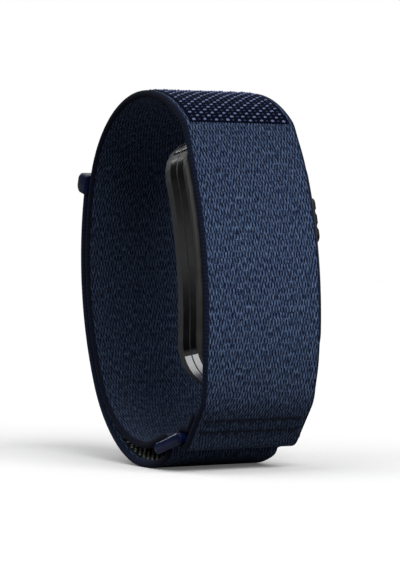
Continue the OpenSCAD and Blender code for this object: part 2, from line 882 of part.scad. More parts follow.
module shield_can() {
    in_pod() color("#a9acb2") difference() {
        chip(shield, shield_z);
        chip([shield.x - 2 * can_t, shield.y - 2 * can_t, shield.z - can_t], shield_z);
    }
}

module processor() {
    in_pod() color("#202226") chip(processor_size, shield_z);
}

module antenna() {
    in_pod() color("#d8d3c4") chip(antenna_size, antenna_z);
}

module battery() {
    in_pod() color("#9aa0a8") along_pod(battery_z)
        block(battery_w, battery_l, floor_d + pad_t, floor_d + pad_t + battery_t, battery_x);
}

module battery_pad() {
    in_pod() color("#4a4d55") along_pod(battery_z)
        block(battery_w - pad_margin, battery_l - pad_margin, floor_d, floor_d + pad_t, battery_x);
}

module battery_lead() {
    in_pod() color("#c07a2c") along_pod(battery_z) intersection() {
        translate([battery_x, 0, (battery_l + lead_t) / 2]) cube([lead_w, clear, lead_t], center = true);
        layer(floor_d + battery_t / 2, board_d);
    }
}

motor_d = floor_d - motor_sink;
module motor_can() {
    in_pod() color("#b4b7bc") {
        difference() {
            disc(motor_r, -motor_z, motor_d, motor_d + motor_t);
            disc(motor_r - can_t, -motor_z, motor_d + can_t, motor_d + motor_t - can_t);
        }
        disc(shaft_r, -motor_z, motor_d + can_t / 2, motor_d + motor_t - can_t / 2);
    }
}

// The motor's rotor: a hub with a half disc of weight
module motor_rotor() {
    from = motor_d + can_t + air;
    to = motor_d + motor_t - can_t - air;
    in_pod() color("#6f6a5c") difference() {
        union() {
            disc(hub_r, -motor_z, from, to);
            intersection() {
                disc(motor_r - can_t - root_gap, -motor_z, from, to);
                along_pod(-motor_z) translate([clear / 2, 0, 0]) cube(clear, center = true);
            }
        }
        disc(shaft_r + rotor_play, -motor_z, from - cut, to + cut);
    }
}

// ---- Side button ----
module side_button() {
    inner = case_x + button_travel + stem_play;
    outer = pod_w / 2 + button_rise;
    in_pod() color("#0f1014") at_button() {
        difference() {
            slot(button_l, button_h, inner, outer);
            for (side = [-1, 1])
                translate([outer + ridge_r - ridge_depth, 0, side * ridge_pitch / 2]) rotate([90, 0, 0])
                    cylinder(r = ridge_r, h = clear, center = true);
        }
        rod(stem_r, stem_end, inner);
    }
}

module button_clip() {
    in_pod() color("#9a9da3") at_button() difference() {
        rod(clip_r, case_x - wall_t - stem_play - clip_t, case_x - wall_t - stem_play);
        rod(stem_r, stem_end, case_x);
    }
}

module button_seal() {
    in_pod() color("#26282e") at_button() difference() {
        rod(seal_r, case_x - button_seal_t, case_x);
        rod(stem_r + stem_play, stem_end, case_x + cut);
    }
}

module button_switch() {
    in_pod() color("#2f3238") along_pod(button_z) {
        intersection() {
            translate([switch_x + switch_size.x / 2, 0, 0])
                cube([switch_size.x, clear, switch_size.z], center = true);
            layer(board_d - switch_size.y, board_d);
        }
        translate([0, button_d, 0]) rod(stem_r, nib_end - switch_nib - cut, nib_end);
    }
}

strap_band();
loop_pile();
hook_tape_base();
seam_stitching();
cradle_plate();
tail_strap();
hook_tape_tail();
end_tab();
buckle_loop();
outer_shell();
outer_side_bands();
inner_side_bands();
top_end_inlays();
bottom_end_inlays();
case_seal();
inner_shell();
case_screws();
skin_side_cover();
sensor_window();
light_barrier();
leds();
photodiodes();
temperature_contact();
charging_contacts();
main_board();
shield_can();
processor();
antenna();
battery();
battery_pad();
battery_lead();
motor_can();
button_switch();
button_seal();
motor_rotor();
side_button();
button_clip();
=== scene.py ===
# %% [markdown]
# # A screenless fitness tracker band
#
# The band is a knitted strap that closes on itself with hooks and loops. It stands on its
# lowest turn, with a curved sensor pod on the inner side of the near wall. The CAD model gives
# every size. This script gives the looks: the cloth, its loops and hooks, the stitches, the
# glossy buckle and tab, and the materials of the pod.
#
# The first cell loads the imported CAD model.

# %% Load the frame
import math

import bpy
import numpy as np
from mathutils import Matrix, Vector
from mathutils.bvhtree import BVHTree


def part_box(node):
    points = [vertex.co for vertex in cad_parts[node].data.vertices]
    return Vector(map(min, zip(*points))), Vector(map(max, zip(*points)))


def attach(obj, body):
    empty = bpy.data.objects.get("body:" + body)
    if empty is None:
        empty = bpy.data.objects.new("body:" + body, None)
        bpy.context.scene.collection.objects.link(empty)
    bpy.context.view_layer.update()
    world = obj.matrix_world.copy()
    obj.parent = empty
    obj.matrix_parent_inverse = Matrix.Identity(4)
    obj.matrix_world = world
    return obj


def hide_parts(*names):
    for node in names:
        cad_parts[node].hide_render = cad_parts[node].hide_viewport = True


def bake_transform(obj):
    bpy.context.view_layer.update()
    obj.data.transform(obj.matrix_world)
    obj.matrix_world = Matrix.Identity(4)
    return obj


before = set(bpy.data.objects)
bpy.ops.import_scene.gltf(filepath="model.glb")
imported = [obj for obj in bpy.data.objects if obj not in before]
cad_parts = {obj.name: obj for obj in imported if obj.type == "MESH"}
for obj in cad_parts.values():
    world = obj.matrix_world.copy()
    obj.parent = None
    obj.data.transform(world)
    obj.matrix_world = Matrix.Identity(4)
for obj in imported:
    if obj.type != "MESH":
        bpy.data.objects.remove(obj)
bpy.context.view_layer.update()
MM = 0.001

# %% [markdown]
# ## The photograph's frame
#
# A product photograph is taken with a long lens, so that parallel edges stay almost parallel. Such
# a camera is settled by a few points that are easy to find in the picture. Each point below is
# named, and is given in the picture's own pixels, 400 wide and 570 high. The camera is only aimed,
# because a lens shift isn't needed here.

# %% Image points and the camera
W, H = 400, 570
LONG_SIDE = max(W, H)
EDGES = {"left": 78.0, "right": 321.4, "top": 90.0, "bottom": 467.0}
POINTS = {
    "loop_field_edge": (245.0, 122.5),
    "upper_stitches": (247.0, 419.0),
    "lower_stitches": (245.0, 430.0),
    "end_tab": (86.0, 180.0),
    "buckle_leg": (168.5, 439.0),
    "side_button": (316.5, 222.0),
    "low_inlays": (193.5, 369.0),
    "high_inlays": (181.5, 150.0),
}
AIM = Vector((0.000203, -0.000116, 0.031744))
AZIMUTH, ELEVATION = math.radians(29.608), math.radians(1.094)
DISTANCE, LENS, SENSOR = 0.450, 160.6, 36.0

scene = bpy.context.scene
look = Vector((
    math.sin(AZIMUTH) * math.cos(ELEVATION), math.cos(AZIMUTH) * math.cos(ELEVATION), -math.sin(ELEVATION)
))
camera_data = bpy.data.cameras.new("studio_camera")
camera_data.lens, camera_data.sensor_width, camera_data.sensor_fit = LENS, SENSOR, "AUTO"
camera = bpy.data.objects.new("studio_camera", camera_data)
scene.collection.objects.link(camera)
camera.location = AIM - look * DISTANCE
camera.rotation_euler = look.to_track_quat("-Z", "Y").to_euler()
scene.camera = camera
bpy.context.view_layer.update()


def picture_ray(x, y):
    """The ray through a picture point: its offset from the picture's middle, over the lens."""
    way = Vector((x - W / 2, H / 2 - y, -LONG_SIDE * LENS / SENSOR)).normalized()
    return camera.matrix_world.translation.copy(), camera.matrix_world.to_3x3() @ way


def picture_place(points):
    """Where points show: divided by their depth along the view, and scaled by the lens."""
    turn = np.array(camera.matrix_world.to_3x3())
    local = (np.asarray(points) - np.array(camera.location)) @ turn
    scale = LONG_SIDE * LENS / SENSOR / -local[:, 2]
    return np.column_stack([W / 2 + local[:, 0] * scale, H / 2 - local[:, 1] * scale])


# %% [markdown]
# ## The strap's line
#
# The strap is one long ribbon. Seen from the side it is a chain of arcs: up the wall behind the
# pod, over the crown, down the closure wall, along the bottom, round the lower bar and back as
# a second layer. A chain of arcs is better here than a drawn curve, because each bend keeps the
# radius that the CAD model gives it. A station is a place (y, z) and a heading in degrees, and
# the cloth lies to the right of the line.

# %% Stations along the strap
STEP = 0.5
STRAP_T, STRAP_W, POD_STRAP_W = 1.25, 22.2, 22.7
EYE_R, FOLD_R = 0.95, 1.2
SEAM_RUN, FLAP_L = 7.6, 5.6
LOOP_H, PILE_GAP, HOOK_H = 0.25, 0.1, 0.2


def turned(start, radius, turn):
    """Stations of an arc: the start plus the radius times the change of the heading's sine and
    cosine. A positive turn bends to the left."""
    count = max(2, math.ceil(max(abs(turn) / 6, radius * math.radians(abs(turn)) / STEP)))
    heading = start[2] + turn * np.arange(1, count + 1) / count
    side, a, b = math.copysign(radius, turn), np.radians(heading), math.radians(start[2])
    return np.column_stack([
        start[0] + side * (np.sin(a) - math.sin(b)), start[1] - side * (np.cos(a) - math.cos(b)), heading
    ])


def moved(stations, along=0.0, left=0.0):
    """Stations moved along their headings and to their left."""
    s = np.atleast_2d(stations)
    c, n = np.cos(np.radians(s[:, 2])), np.sin(np.radians(s[:, 2]))
    return np.column_stack([s[:, 0] + along * c - left * n, s[:, 1] + along * n + left * c, s[:, 2]])


def eased(start, end, count=14, handle=0.33):
    """A cubic from one station to another that keeps both headings; its handles are a share of
    the distance."""
    a, b = np.asarray(start, float), np.asarray(end, float)
    reach = handle * np.hypot(*(b - a)[:2])
    p, q = moved(a, reach)[0], moved(b, -reach)[0]
    t = (np.arange(1, count + 1) / count)[:, None]
    u = 1 - t
    place = u ** 3 * a + 3 * u * u * t * p + 3 * u * t * t * q + t ** 3 * b
    way = u * u * (p - a) + 2 * u * t * (q - p) + t * t * (b - q)
    heading = np.degrees(np.unwrap(np.arctan2(way[:, 1], way[:, 0])))
    heading += 360 * np.round((a[2] - heading[0]) / 360)
    return np.column_stack([place[:, :2], heading])


def returned(stations):
    """The same stations walked the other way."""
    return np.column_stack([stations[::-1, :2], stations[::-1, 2] + 180])


def straight(start, end):
    """Stations of a straight run between two places that share a heading."""
    count = max(1, round(np.hypot(*(end - start)[:2]) / STEP))
    t = (np.arange(1, count + 1) / count)[:, None]
    return start + (end - start) * t


def walk(start, *bends):
    """Arcs joined end to end, each as its own list of stations."""
    arcs = []
    for radius, turn in bends:
        arcs.append(turned(start, radius, turn))
        start = arcs[-1][-1]
    return arcs


strap_low, strap_high = (np.array(c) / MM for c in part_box("strap_band"))
apex_z = strap_high[2]
# The wall behind the pod: its radius, half the pod's length, the wall's reach above and below the
# pod, and its lean
WALL_R, POD_HALF, ABOVE, BELOW, LEAN = 70.5, 21.65, 0.7, 2.1, 8.7
upper_turn = math.degrees(math.asin((POD_HALF + ABOVE) / WALL_R))
lower_turn = math.degrees(math.asin((POD_HALF + BELOW) / WALL_R))
CROWN_NEAR, SHOULDER_R, BARE, HEEL_R, HEEL_SLOPE = (21.7, 40.2), 5.2, 14.0, 6.4, 53.0
near = walk(
    [0, apex_z, 180], CROWN_NEAR, (SHOULDER_R, BARE),
    (SHOULDER_R, 90 - LEAN - upper_turn - CROWN_NEAR[1] - BARE),
    (WALL_R, upper_turn + lower_turn), (HEEL_R, 90 - HEEL_SLOPE + LEAN - lower_turn),
)
CROWN_FAR, SIDE, PEEL, KNEE_R, SOLE = (21.1, 75.0), (52.4, 43.3), 4.0, 5.0, (19.2, 54.0)
far = walk(
    [0, apex_z, 0], (CROWN_FAR[0], -CROWN_FAR[1]), (SIDE[0], PEEL - SIDE[1]), (SIDE[0], -PEEL),
    (KNEE_R, CROWN_FAR[1] + SIDE[1] + SOLE[1] - 180), (SOLE[0], -SOLE[1]),
)
eye_start = moved(near[-1][-1], SEAM_RUN)[0]
flap_start = moved(eye_start, -FLAP_L)[0]
eye_at = moved(eye_start, 0, STRAP_T + EYE_R)[0]
BAR_SPAN, BUCKLE_SLOPE = 7.5, 17.0
bar_at = moved([eye_at[0], eye_at[1], -BUCKLE_SLOPE], BAR_SPAN)[0]
# The fold round the lower bar, then the flat foot that the second layer starts with
FOLD_FROM, FOLD_TURN, FOOT_LEAD, FOOT_TURN, FOOT_L, ROOT_GAP = 160, 175, 5.5, 25, 2.2, 0.3
fold_start = moved([bar_at[0], bar_at[1], FOLD_FROM], 0, -FOLD_R)[0]
over_bar = eased(far[-1][-1], fold_start - [0, 0, 360])
fold = turned([*fold_start[:2], over_bar[-1][2]], FOLD_R, FOLD_TURN)
foot_start = np.array([bar_at[0] + FOOT_LEAD, STRAP_T, fold[-1][2] + FOOT_TURN])
foot_end = moved(foot_start, FOOT_L)[0]
closure_gap = LOOP_H + PILE_GAP + HOOK_H
tail_run = moved(returned(np.vstack([far[0][-1:], far[1]])), 0, -closure_gap)
tail_run[:, 2] += 360 * np.round((foot_end[2] - tail_run[0, 2]) / 360)
rise = eased(foot_end, moved(tail_run[0], -STRAP_T / 2 - ROOT_GAP)[0], 30)

low_y = min(s[:, 0].min() for s in near)
path_shift = strap_low[1] - low_y
mid_x = (strap_low[0] + strap_high[0]) / 2
print("strap line: shift", round(path_shift, 3), "middle x", round(mid_x, 3), "mm")

# %% [markdown]
# ## A ribbon from a profile
#
# A strap's edges are folded over and turn round, so its profile is a flat rectangle with round
# ends. Carrying that profile along the line makes a closed skin with clean edges. Two things are
# stored with it: a UV map in millimetres, across and along the strap, which lets the knit follow
# the cloth, and the distance to the nearest edge, which lets the edge band have its own finish.

# %% Surfaces from grids
def new_mesh(name, points, faces, material=None, uv=None, floats=None, sharp=40):
    """A mesh object from points in millimetres and faces, turned right side out: where the sum
    of its tetrahedra against the origin is negative, every face is reversed."""
    p = np.asarray(points, float).reshape(-1, 3)
    faces = [np.asarray(f) for f in faces]
    volume = sum(
        np.einsum("ij,ij->i", p[f[:, 0]], np.cross(p[f[:, k]], p[f[:, k + 1]])).sum()
        for f in faces for k in range(1, f.shape[1] - 1)
    )
    if volume < 0:
        faces = [f[:, ::-1] for f in faces]
    mesh = bpy.data.meshes.new(name)
    mesh.from_pydata((p * MM).tolist(), [], [row for f in faces for row in f.tolist()])
    if uv is not None:
        index = np.empty(len(mesh.loops), np.int32)
        mesh.loops.foreach_get("vertex_index", index)
        cloth = mesh.uv_layers.new(name="cloth")
        cloth.data.foreach_set("uv", np.asarray(uv, np.float32)[index].ravel())
    for label, values in (floats or {}).items():
        kept = mesh.attributes.new(label, "FLOAT", "POINT")
        kept.data.foreach_set("value", np.asarray(values, np.float32))
    mesh.shade_smooth()
    mesh.set_sharp_from_angle(angle=math.radians(sharp))
    if material:
        mesh.materials.append(material)
    obj = bpy.data.objects.new(name, mesh)
    scene.collection.objects.link(obj)
    return obj


def grid_faces(rows, columns, first=0, around=False):
    """Quads between neighbouring rows and columns of a grid of points."""
    i, j = np.meshgrid(np.arange(rows - 1), np.arange(columns if around else columns - 1), indexing="ij")
    a, b = first + i * columns + j, first + i * columns + (j + 1) % columns
    return np.stack([a, b, b + columns, a + columns], -1).reshape(-1, 4)


def tube(rings, first=0):
    """Faces of rings joined into a closed skin, with a flat face over each end."""
    rows, columns = rings.shape[:2]
    ends = first + np.array([np.arange(columns)[::-1], (rows - 1) * columns + np.arange(columns)])
    return [grid_faces(rows, columns, first, around=True), ends]


def onto_path(stations, x, depth):
    """Points at x across the strap and at a depth to the right of each station."""
    a = np.radians(stations[:, 2])[:, None]
    y = stations[:, :1] + depth * np.sin(a)
    z = stations[:, 1:2] - depth * np.cos(a)
    return np.stack(np.broadcast_arrays(x + mid_x, y + path_shift, z), -1)


def length_along(stations):
    """Distance walked up to each station."""
    return np.concatenate([[0], np.hypot(*np.diff(stations[:, :2], axis=0).T).cumsum()])


def strap_profile(thickness, rim, columns=24, turns=7):
    """A rectangle with round ends: a share of the half width, a part that stands beyond it, and
    a depth. The round ends are half ellipses of reach rim."""
    share = np.linspace(-1, 1, columns)
    bend = np.linspace(0, math.pi, turns + 2)[1:-1]
    beyond, depth = rim * np.sin(bend), thickness / 2 * (1 - np.cos(bend))
    return (
        np.concatenate([share, np.ones(turns), -share, -np.ones(turns)]),
        np.concatenate([0 * share, beyond, 0 * share, -beyond]),
        np.concatenate([0 * share, depth, 0 * share + thickness, thickness - depth]),
    )


RIM = 0.5


def ribbon(name, stations, width, start=0.0, shade=1.0, **kwargs):
    """The strap's profile carried along the stations, with the width and the painted shade given at each
    one."""
    share, beyond, depth = strap_profile(STRAP_T, RIM)
    half = np.broadcast_to(np.asarray(width, float) / 2, len(stations))[:, None]
    x = share * (half - RIM) + beyond
    points = onto_path(stations, x, depth[None, :])
    along = np.broadcast_to((start + length_along(stations))[:, None], x.shape)
    uv = np.stack([x, along], -1).reshape(-1, 2)
    edge = (half - np.abs(x)).ravel()
    shades = np.broadcast_to(np.asarray(shade, float).reshape(-1, 1), x.shape).ravel()
    floats = {"edge_mm": edge, "shade": shades}
    return new_mesh(name, points, tube(points), uv=uv, floats=floats, **kwargs)


def smooth(t):
    """A smooth step from 0 to 1."""
    t = np.clip(t, 0, 1)
    return t * t * (3 - 2 * t)


# %% [markdown]
# ## Colours and small tools for materials
#
# A material is a small network of nodes. Two helpers keep the networks short: one adds a node
# and fills or links its inputs, the other turns the colours that a photograph shows into the
# linear numbers that the renderer works with.

# %% Node helpers
def ink(r, g, b):
    """A colour from 0 to 255 as the photograph shows it, made linear."""
    c = np.array([r, g, b]) / 255
    return (*np.where(c <= 0.04045, c / 12.92, ((c + 0.055) / 1.055) ** 2.4).tolist(), 1.0)


def add(tree, kind, inputs=None, **settings):
    """Adds a node, gives it its settings, and fills or links its inputs by name or number."""
    node = tree.nodes.new(kind)
    for key, value in settings.items():
        setattr(node, key, value)
    for key, value in (inputs or {}).items():
        if isinstance(value, bpy.types.NodeSocket):
            tree.links.new(value, node.inputs[key])
        else:
            node.inputs[key].default_value = value
    return node


def maths(tree, operation, *values, clamp=False):
    """One Math node, with numbers or sockets as its values."""
    inputs = dict(enumerate(values))
    return add(tree, "ShaderNodeMath", inputs, operation=operation, use_clamp=clamp).outputs[0]


def ramp(tree, value, low, high, to_low=0.0, to_high=1.0):
    """Maps a range smoothly onto another."""
    return add(tree, "ShaderNodeMapRange", {
        "Value": value, "From Min": low, "From Max": high, "To Min": to_low, "To Max": to_high
    }, interpolation_type="SMOOTHSTEP").outputs[0]


def mixed(tree, share, a, b):
    """Two colours mixed by a share."""
    return add(tree, "ShaderNodeMix", {0: share, 6: a, 7: b}, data_type="RGBA").outputs[2]


def noise(tree, vector, scale, detail=2.0, **inputs):
    """The value of a noise texture over a vector."""
    inputs = {"Vector": vector, "Scale": scale, "Detail": detail, **inputs}
    return add(tree, "ShaderNodeTexNoise", inputs).outputs[0]


def object_mm(tree):
    """Object coordinates in millimetres."""
    place = add(tree, "ShaderNodeTexCoord").outputs["Object"]
    return add(tree, "ShaderNodeVectorMath", {0: place, "Scale": 1 / MM}, operation="SCALE").outputs[0]


def group(name, inputs, outputs):
    """A node group with float, vector or colour sockets, and its inner tree's two ends."""
    tree = bpy.data.node_groups.new(name, "ShaderNodeTree")
    for label, kind, default in inputs:
        socket = tree.interface.new_socket(label, in_out="INPUT", socket_type="NodeSocket" + kind)
        if default is not None:
            socket.default_value = default
    for label, kind in outputs:
        tree.interface.new_socket(label, in_out="OUTPUT", socket_type="NodeSocket" + kind)
    return tree, tree.nodes.new("NodeGroupInput").outputs, tree.nodes.new("NodeGroupOutput")


def use(tree, grouped, **inputs):
    """Places a group in a material, and gives it this material's values."""
    node = tree.nodes.new("ShaderNodeGroup")
    node.node_tree = grouped
    for key, value in inputs.items():
        if isinstance(value, bpy.types.NodeSocket):
            tree.links.new(value, node.inputs[key])
        else:
            node.inputs[key].default_value = value
    return node.outputs


def material(name, **constants):
    """A material with one Principled shader, whose constant sockets are set on it directly."""
    made = bpy.data.materials.new(name)
    made.use_nodes = True
    tree = made.node_tree
    shader = tree.nodes["Principled BSDF"]
    for key, value in constants.items():
        shader.inputs[key.replace("_", " ")].default_value = value
    return made, tree, shader


def stored(tree, label):
    """A number that a mesh keeps at its points."""
    return add(tree, "ShaderNodeAttribute", attribute_name=label).outputs["Fac"]


def cloth_place(tree):
    """The strap's own UV map, in millimetres across and along the cloth."""
    return add(tree, "ShaderNodeUVMap", uv_map="cloth").outputs[0]


def bumped(tree, shader, height, distance):
    """Feeds a height in millimetres to the shader's normal."""
    bump = add(tree, "ShaderNodeBump", {"Height": height, "Distance": distance * MM, "Strength": 1.0})
    tree.links.new(bump.outputs[0], shader.inputs["Normal"])


# %% [markdown]
# ## The knit
#
# The cloth is a flat knit of heathered yarn. Its threads run along the strap, meet and part again, and
# leave a slot where they part, which the material paints dark as shade in the gap. The slots of
# neighbouring columns are staggered. A product of two waves gives just that: it peaks where both agree,
# which is in a staggered lattice. The wave along the strap is squared off, and each column is pushed along
# by its own random share of a stitch. Noise moves the threads a little and shades each length of yarn,
# partly as heather and partly as a painted highlight along the threads, because an even pattern would look
# printed.

# %% The knit as a node group
COLUMN_PUSH, SQUARENESS = 0.22, 0.28
SLOT_FROM, SLOT_FULL = -0.2, 0.85
knit_group, given, result = group("knit", [
    ("UV", "Vector", None), ("Wale", "Float", 0.3), ("Stitch", "Float", 1.0), ("Wander", "Float", 0.2),
], [("Height", "Float"), ("Slot", "Float"), ("Tone_And_Highlight", "Float")])


def in_knit(operation, *values):
    """A Math node in the knit's own tree."""
    return maths(knit_group, operation, *values)


def vectors_in_knit(operation, inputs):
    """A vector node in the knit's own tree."""
    return add(knit_group, "ShaderNodeVectorMath", inputs, operation=operation).outputs[0]


def drawn_out(x, y):
    """The cloth's place, stretched to make noise that is longer one way."""
    inputs = {"Vector": place_uv, "Scale": (x, y, 1.0)}
    return add(knit_group, "ShaderNodeMapping", inputs).outputs[0]


wander = add(knit_group, "ShaderNodeTexNoise", {"Vector": given["UV"], "Scale": 0.9, "Detail": 2.0})
wander = vectors_in_knit("SUBTRACT", {0: wander.outputs["Color"], 1: (0.5, 0.5, 0.5)})
wander = vectors_in_knit("SCALE", {0: wander, "Scale": given["Wander"]})
place_uv = vectors_in_knit("ADD", {0: given["UV"], 1: wander})
place = add(knit_group, "ShaderNodeSeparateXYZ", {0: place_uv}).outputs

across = in_knit("DIVIDE", in_knit("MULTIPLY", place[0], math.pi), given["Wale"])
across = in_knit("COSINE", across)
column = in_knit("ROUND", in_knit("DIVIDE", place[0], given["Wale"]))
push = add(knit_group, "ShaderNodeTexWhiteNoise", {"W": column}, noise_dimensions="1D").outputs["Value"]
along = in_knit("DIVIDE", place[1], given["Stitch"])
along = in_knit("ADD", along, in_knit("MULTIPLY", push, COLUMN_PUSH))
along = in_knit("COSINE", in_knit("MULTIPLY", along, math.pi))
squared = in_knit("POWER", in_knit("ABSOLUTE", along), SQUARENESS)
lattice = in_knit("MULTIPLY", across, in_knit("MULTIPLY", in_knit("SIGN", along), squared))

tone = noise(knit_group, drawn_out(3.4, 1.0), 1.0, 3.0, Roughness=0.6)
uneven = in_knit("MULTIPLY_ADD", tone, 2.0, -1.0)
slots = ramp(knit_group, in_knit("SUBTRACT", lattice, uneven), SLOT_FROM, SLOT_FULL)
fibre = noise(knit_group, drawn_out(5.0, 1.1), 1.0)
thread = in_knit("MULTIPLY_ADD", fibre, 0.35, in_knit("MULTIPLY", slots, -1.0))
# The light tone is partly heather and partly a painted highlight along the threads
heather_and_highlight = in_knit("MULTIPLY_ADD", fibre, 0.75, in_knit("MULTIPLY", tone, 0.25))
knit_group.links.new(thread, result.inputs["Height"])
knit_group.links.new(slots, result.inputs["Slot"])
knit_group.links.new(ramp(knit_group, heather_and_highlight, 0.36, 0.66), result.inputs["Tone_And_Highlight"])

# %% [markdown]
# ## The knit's material
#
# The group gives the slots and tones, and the material turns them into yarn: the slots are painted dark as
# shade in the gaps, and the light tone is partly heather and partly a painted highlight. Near each edge a
# darker ribbed band takes over. The attribute shade is painted shade: it dims the cloth below the seam,
# near the crown and from there on round the far wall.

# %% Yarn with painted shade and highlight, and the edge band
# The slot colour is painted shade in the gaps; the light yarn is partly heather and partly a painted
# highlight
YARN_SLOT_SHADE, YARN, YARN_HEATHER_HIGHLIGHT = ink(5, 13, 38), ink(29, 43, 74), ink(96, 117, 152)
EDGE_NAVY, EDGE_LIGHT = ink(14, 20, 36), ink(22, 30, 52)
RIB_PITCH = 0.7
knit, tree, shader = material(
    "knit", Roughness=0.92, Sheen_Weight=0.02, Sheen_Roughness=0.5, Specular_IOR_Level=0.08
)
cloth_uv = cloth_place(tree)
woven = use(tree, knit_group, UV=cloth_uv, Wale=0.284, Stitch=1.037, Wander=0.32)
# Heather and painted highlight, then the slots painted dark as shade in the gaps
colour = mixed(tree, woven["Tone_And_Highlight"], YARN, YARN_HEATHER_HIGHLIGHT)
colour = mixed(tree, woven["Slot"], colour, YARN_SLOT_SHADE)
edge_band = ramp(tree, stored(tree, "edge_mm"), 0.45, 0.75, 1.0, 0.0)
rib = add(tree, "ShaderNodeSeparateXYZ", {0: cloth_uv}).outputs[1]
rib = maths(tree, "SINE", maths(tree, "MULTIPLY", rib, 2 * math.pi / RIB_PITCH))
ribbed = mixed(tree, maths(tree, "MULTIPLY_ADD", rib, 0.5, 0.5), EDGE_NAVY, EDGE_LIGHT)
colour = mixed(tree, edge_band, colour, ribbed)
# Painted shade: the stored shade darkens the colour towards black
colour = mixed(tree, stored(tree, "shade"), (0, 0, 0, 1), colour)
tree.links.new(colour, shader.inputs["Base Color"])
height = maths(tree, "MULTIPLY", woven["Height"], maths(tree, "SUBTRACT", 1.0, edge_band))
height = maths(tree, "MULTIPLY_ADD", maths(tree, "MULTIPLY", rib, edge_band), 0.08, height)
bumped(tree, shader, height, 0.16)

# %% [markdown]
# ## The strap
#
# One ribbon holds the whole strap from the sewn flap to the foot. The cloth runs down the
# inside of the wall as a flap, round the upper bar and up the wall again, which makes the eye.
# The rest of the outer layer and the tail are a second ribbon.

# %% The two ribbons
EYE_TURN, EYE_EASE, FLAP_GAP = 225, 0.4, 0.1
flap_line = 1.5 * STRAP_T
mid = STRAP_T / 2
flap_top = moved(flap_start, FLAP_GAP, flap_line)[0]
flap_low = moved(eye_start, -(STRAP_T + EYE_R) - EYE_EASE, flap_line)[0]
wall_up = moved(eye_start, 0, mid)[0] + [0, 0, 180]
wrap_start = moved([eye_at[0], eye_at[1], wall_up[2] + EYE_TURN], 0, EYE_R + mid)[0]
wrap_start[2] -= 360 * round((wrap_start[2] - flap_low[2]) / 360)
eye_wrap = turned(wrap_start, EYE_R + mid, -EYE_TURN)
flap = np.vstack([flap_top, straight(flap_top, flap_low), eased(flap_low, wrap_start, 8), eye_wrap])
wall_line = returned(np.vstack(near))
# Every line below has the cloth to its right, so the flap's middle line moves back by half a strap
flap = moved(flap, 0, mid)
wall_heading = 360 * round((flap[-1, 2] - wall_line[0, 2]) / 360)
seam_line = straight(eye_start + [0, 0, 180], wall_line[0])
up = np.vstack([seam_line, wall_line]) + [0, 0, wall_heading]
over = np.vstack([*far, over_bar, fold])
over[:, 2] += 360 * round((up[-1, 2] - over[0, 2]) / 360)
low_layer = eased(fold[-1], foot_start, 12)
low_layer[:, 2] += over[-1, 2] - fold[-1, 2]
body_line = np.vstack([flap, up, over, low_layer])
body_length = length_along(body_line)
crown_start = len(flap) + len(up)

pod_z = (near[3][-1, 1] + near[3][0, 1]) / 2
pod_span = near[3][0, 1] - near[3][-1, 1]
WIDTH_TAPER = 6.0
order = np.arange(len(body_line))
beside_pod = (order >= len(flap)) & (order < crown_start)
wide = smooth((pod_span / 2 - np.abs(body_line[:, 1] - pod_z)) / WIDTH_TAPER) * beside_pod
body_width = STRAP_W + (POD_STRAP_W - STRAP_W) * wide
seam_at = body_length[len(flap) + len(seam_line) - 1]
wall_at = body_length[crown_start - 1]
# The painted shade along the ribbon, darkest below the seam, near the crown and round the far wall, which
# keeps the last value past the near wall
painted_shade_stops = [
    (0, 0.52), (seam_at - 1.5, 0.52), (seam_at, 0.66), (seam_at + 14, 1),
    (wall_at - 36, 1), (wall_at - 20, 0.78), (wall_at, 0.5),
]
painted_shade_along = np.interp(body_length, *zip(*painted_shade_stops))
knit_strap = ribbon("knit_strap", body_line, body_width, shade=painted_shade_along, material=knit)
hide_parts("strap_band")
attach(knit_strap, "strap")

tail_line = np.vstack([foot_start, straight(foot_start, foot_end), rise, tail_run])
knit_tail = ribbon("knit_tail", tail_line, STRAP_W, start=body_length[-1], material=knit)
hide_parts("tail_strap")
peel = tail_run[0]


def on_strap(station, x=0.0, depth=0.0):
    """A place on the strap in metres, from one station."""
    return onto_path(np.atleast_2d(station), np.array([[x]]), np.array([[depth]]))[0, 0] * MM


PEEL_BEND = 3.0
bend_from, bend_to = (on_strap(moved(peel, end)[0], 0, mid) for end in (-PEEL_BEND, PEEL_BEND))
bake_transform(knit_tail)
print("strap ribbon", len(knit_strap.data.polygons), "faces; tail", len(knit_tail.data.polygons), "faces")

# %% [markdown]
# ## Where a picture point meets the cloth
#
# The loop field's lower edge and the two stitch rows lie where the photograph shows them. A ray
# from the camera through the picture point meets the finished strap, and the nearest station
# of the line gives the distance along the cloth. Each row then keeps that distance across the
# whole width.

# %% Placing by rays
def tree_of(*objects):
    """A search tree of the finished surfaces of some pieces."""
    points, faces = [], []
    for obj in objects:
        shift = len(points)
        points += [obj.matrix_world @ v.co for v in obj.data.vertices]
        faces += [[shift + i for i in f.vertices] for f in obj.data.polygons]
    return BVHTree.FromPolygons(points, faces)


def met(surface, x, y):
    """The place where the ray through a picture point meets a surface, or the nearest place."""
    start, way = picture_ray(x, y)
    hit = surface.ray_cast(start, way)[0]
    if hit is None:
        samples = [start + way * (DISTANCE + offset * MM) for offset in range(-40, 41)]
        hit = min((surface.find_nearest(s) for s in samples), key=lambda found: found[3])[0]
    return hit


strap_surface = tree_of(knit_strap)


def along_at(name):
    """Distance along the strap's line at which a named picture point meets the cloth."""
    hit = np.array(met(strap_surface, *POINTS[name])) / MM
    wall = slice(len(flap), crown_start + 4)
    gap = np.hypot(body_line[wall, 0] + path_shift - hit[1], body_line[wall, 1] - hit[2])
    return body_length[wall][gap.argmin()]


def station_at(line, lengths, distance):
    """The station at a distance along a line, between its neighbours."""
    return np.column_stack([np.interp(distance, lengths, line[:, k]) for k in range(3)])


loops_from = along_at("loop_field_edge")
stitch_rows = [along_at("upper_stitches"), along_at("lower_stitches")]
print("loop field from", round(loops_from, 2), "stitch rows at", np.round(stitch_rows, 2), "mm")

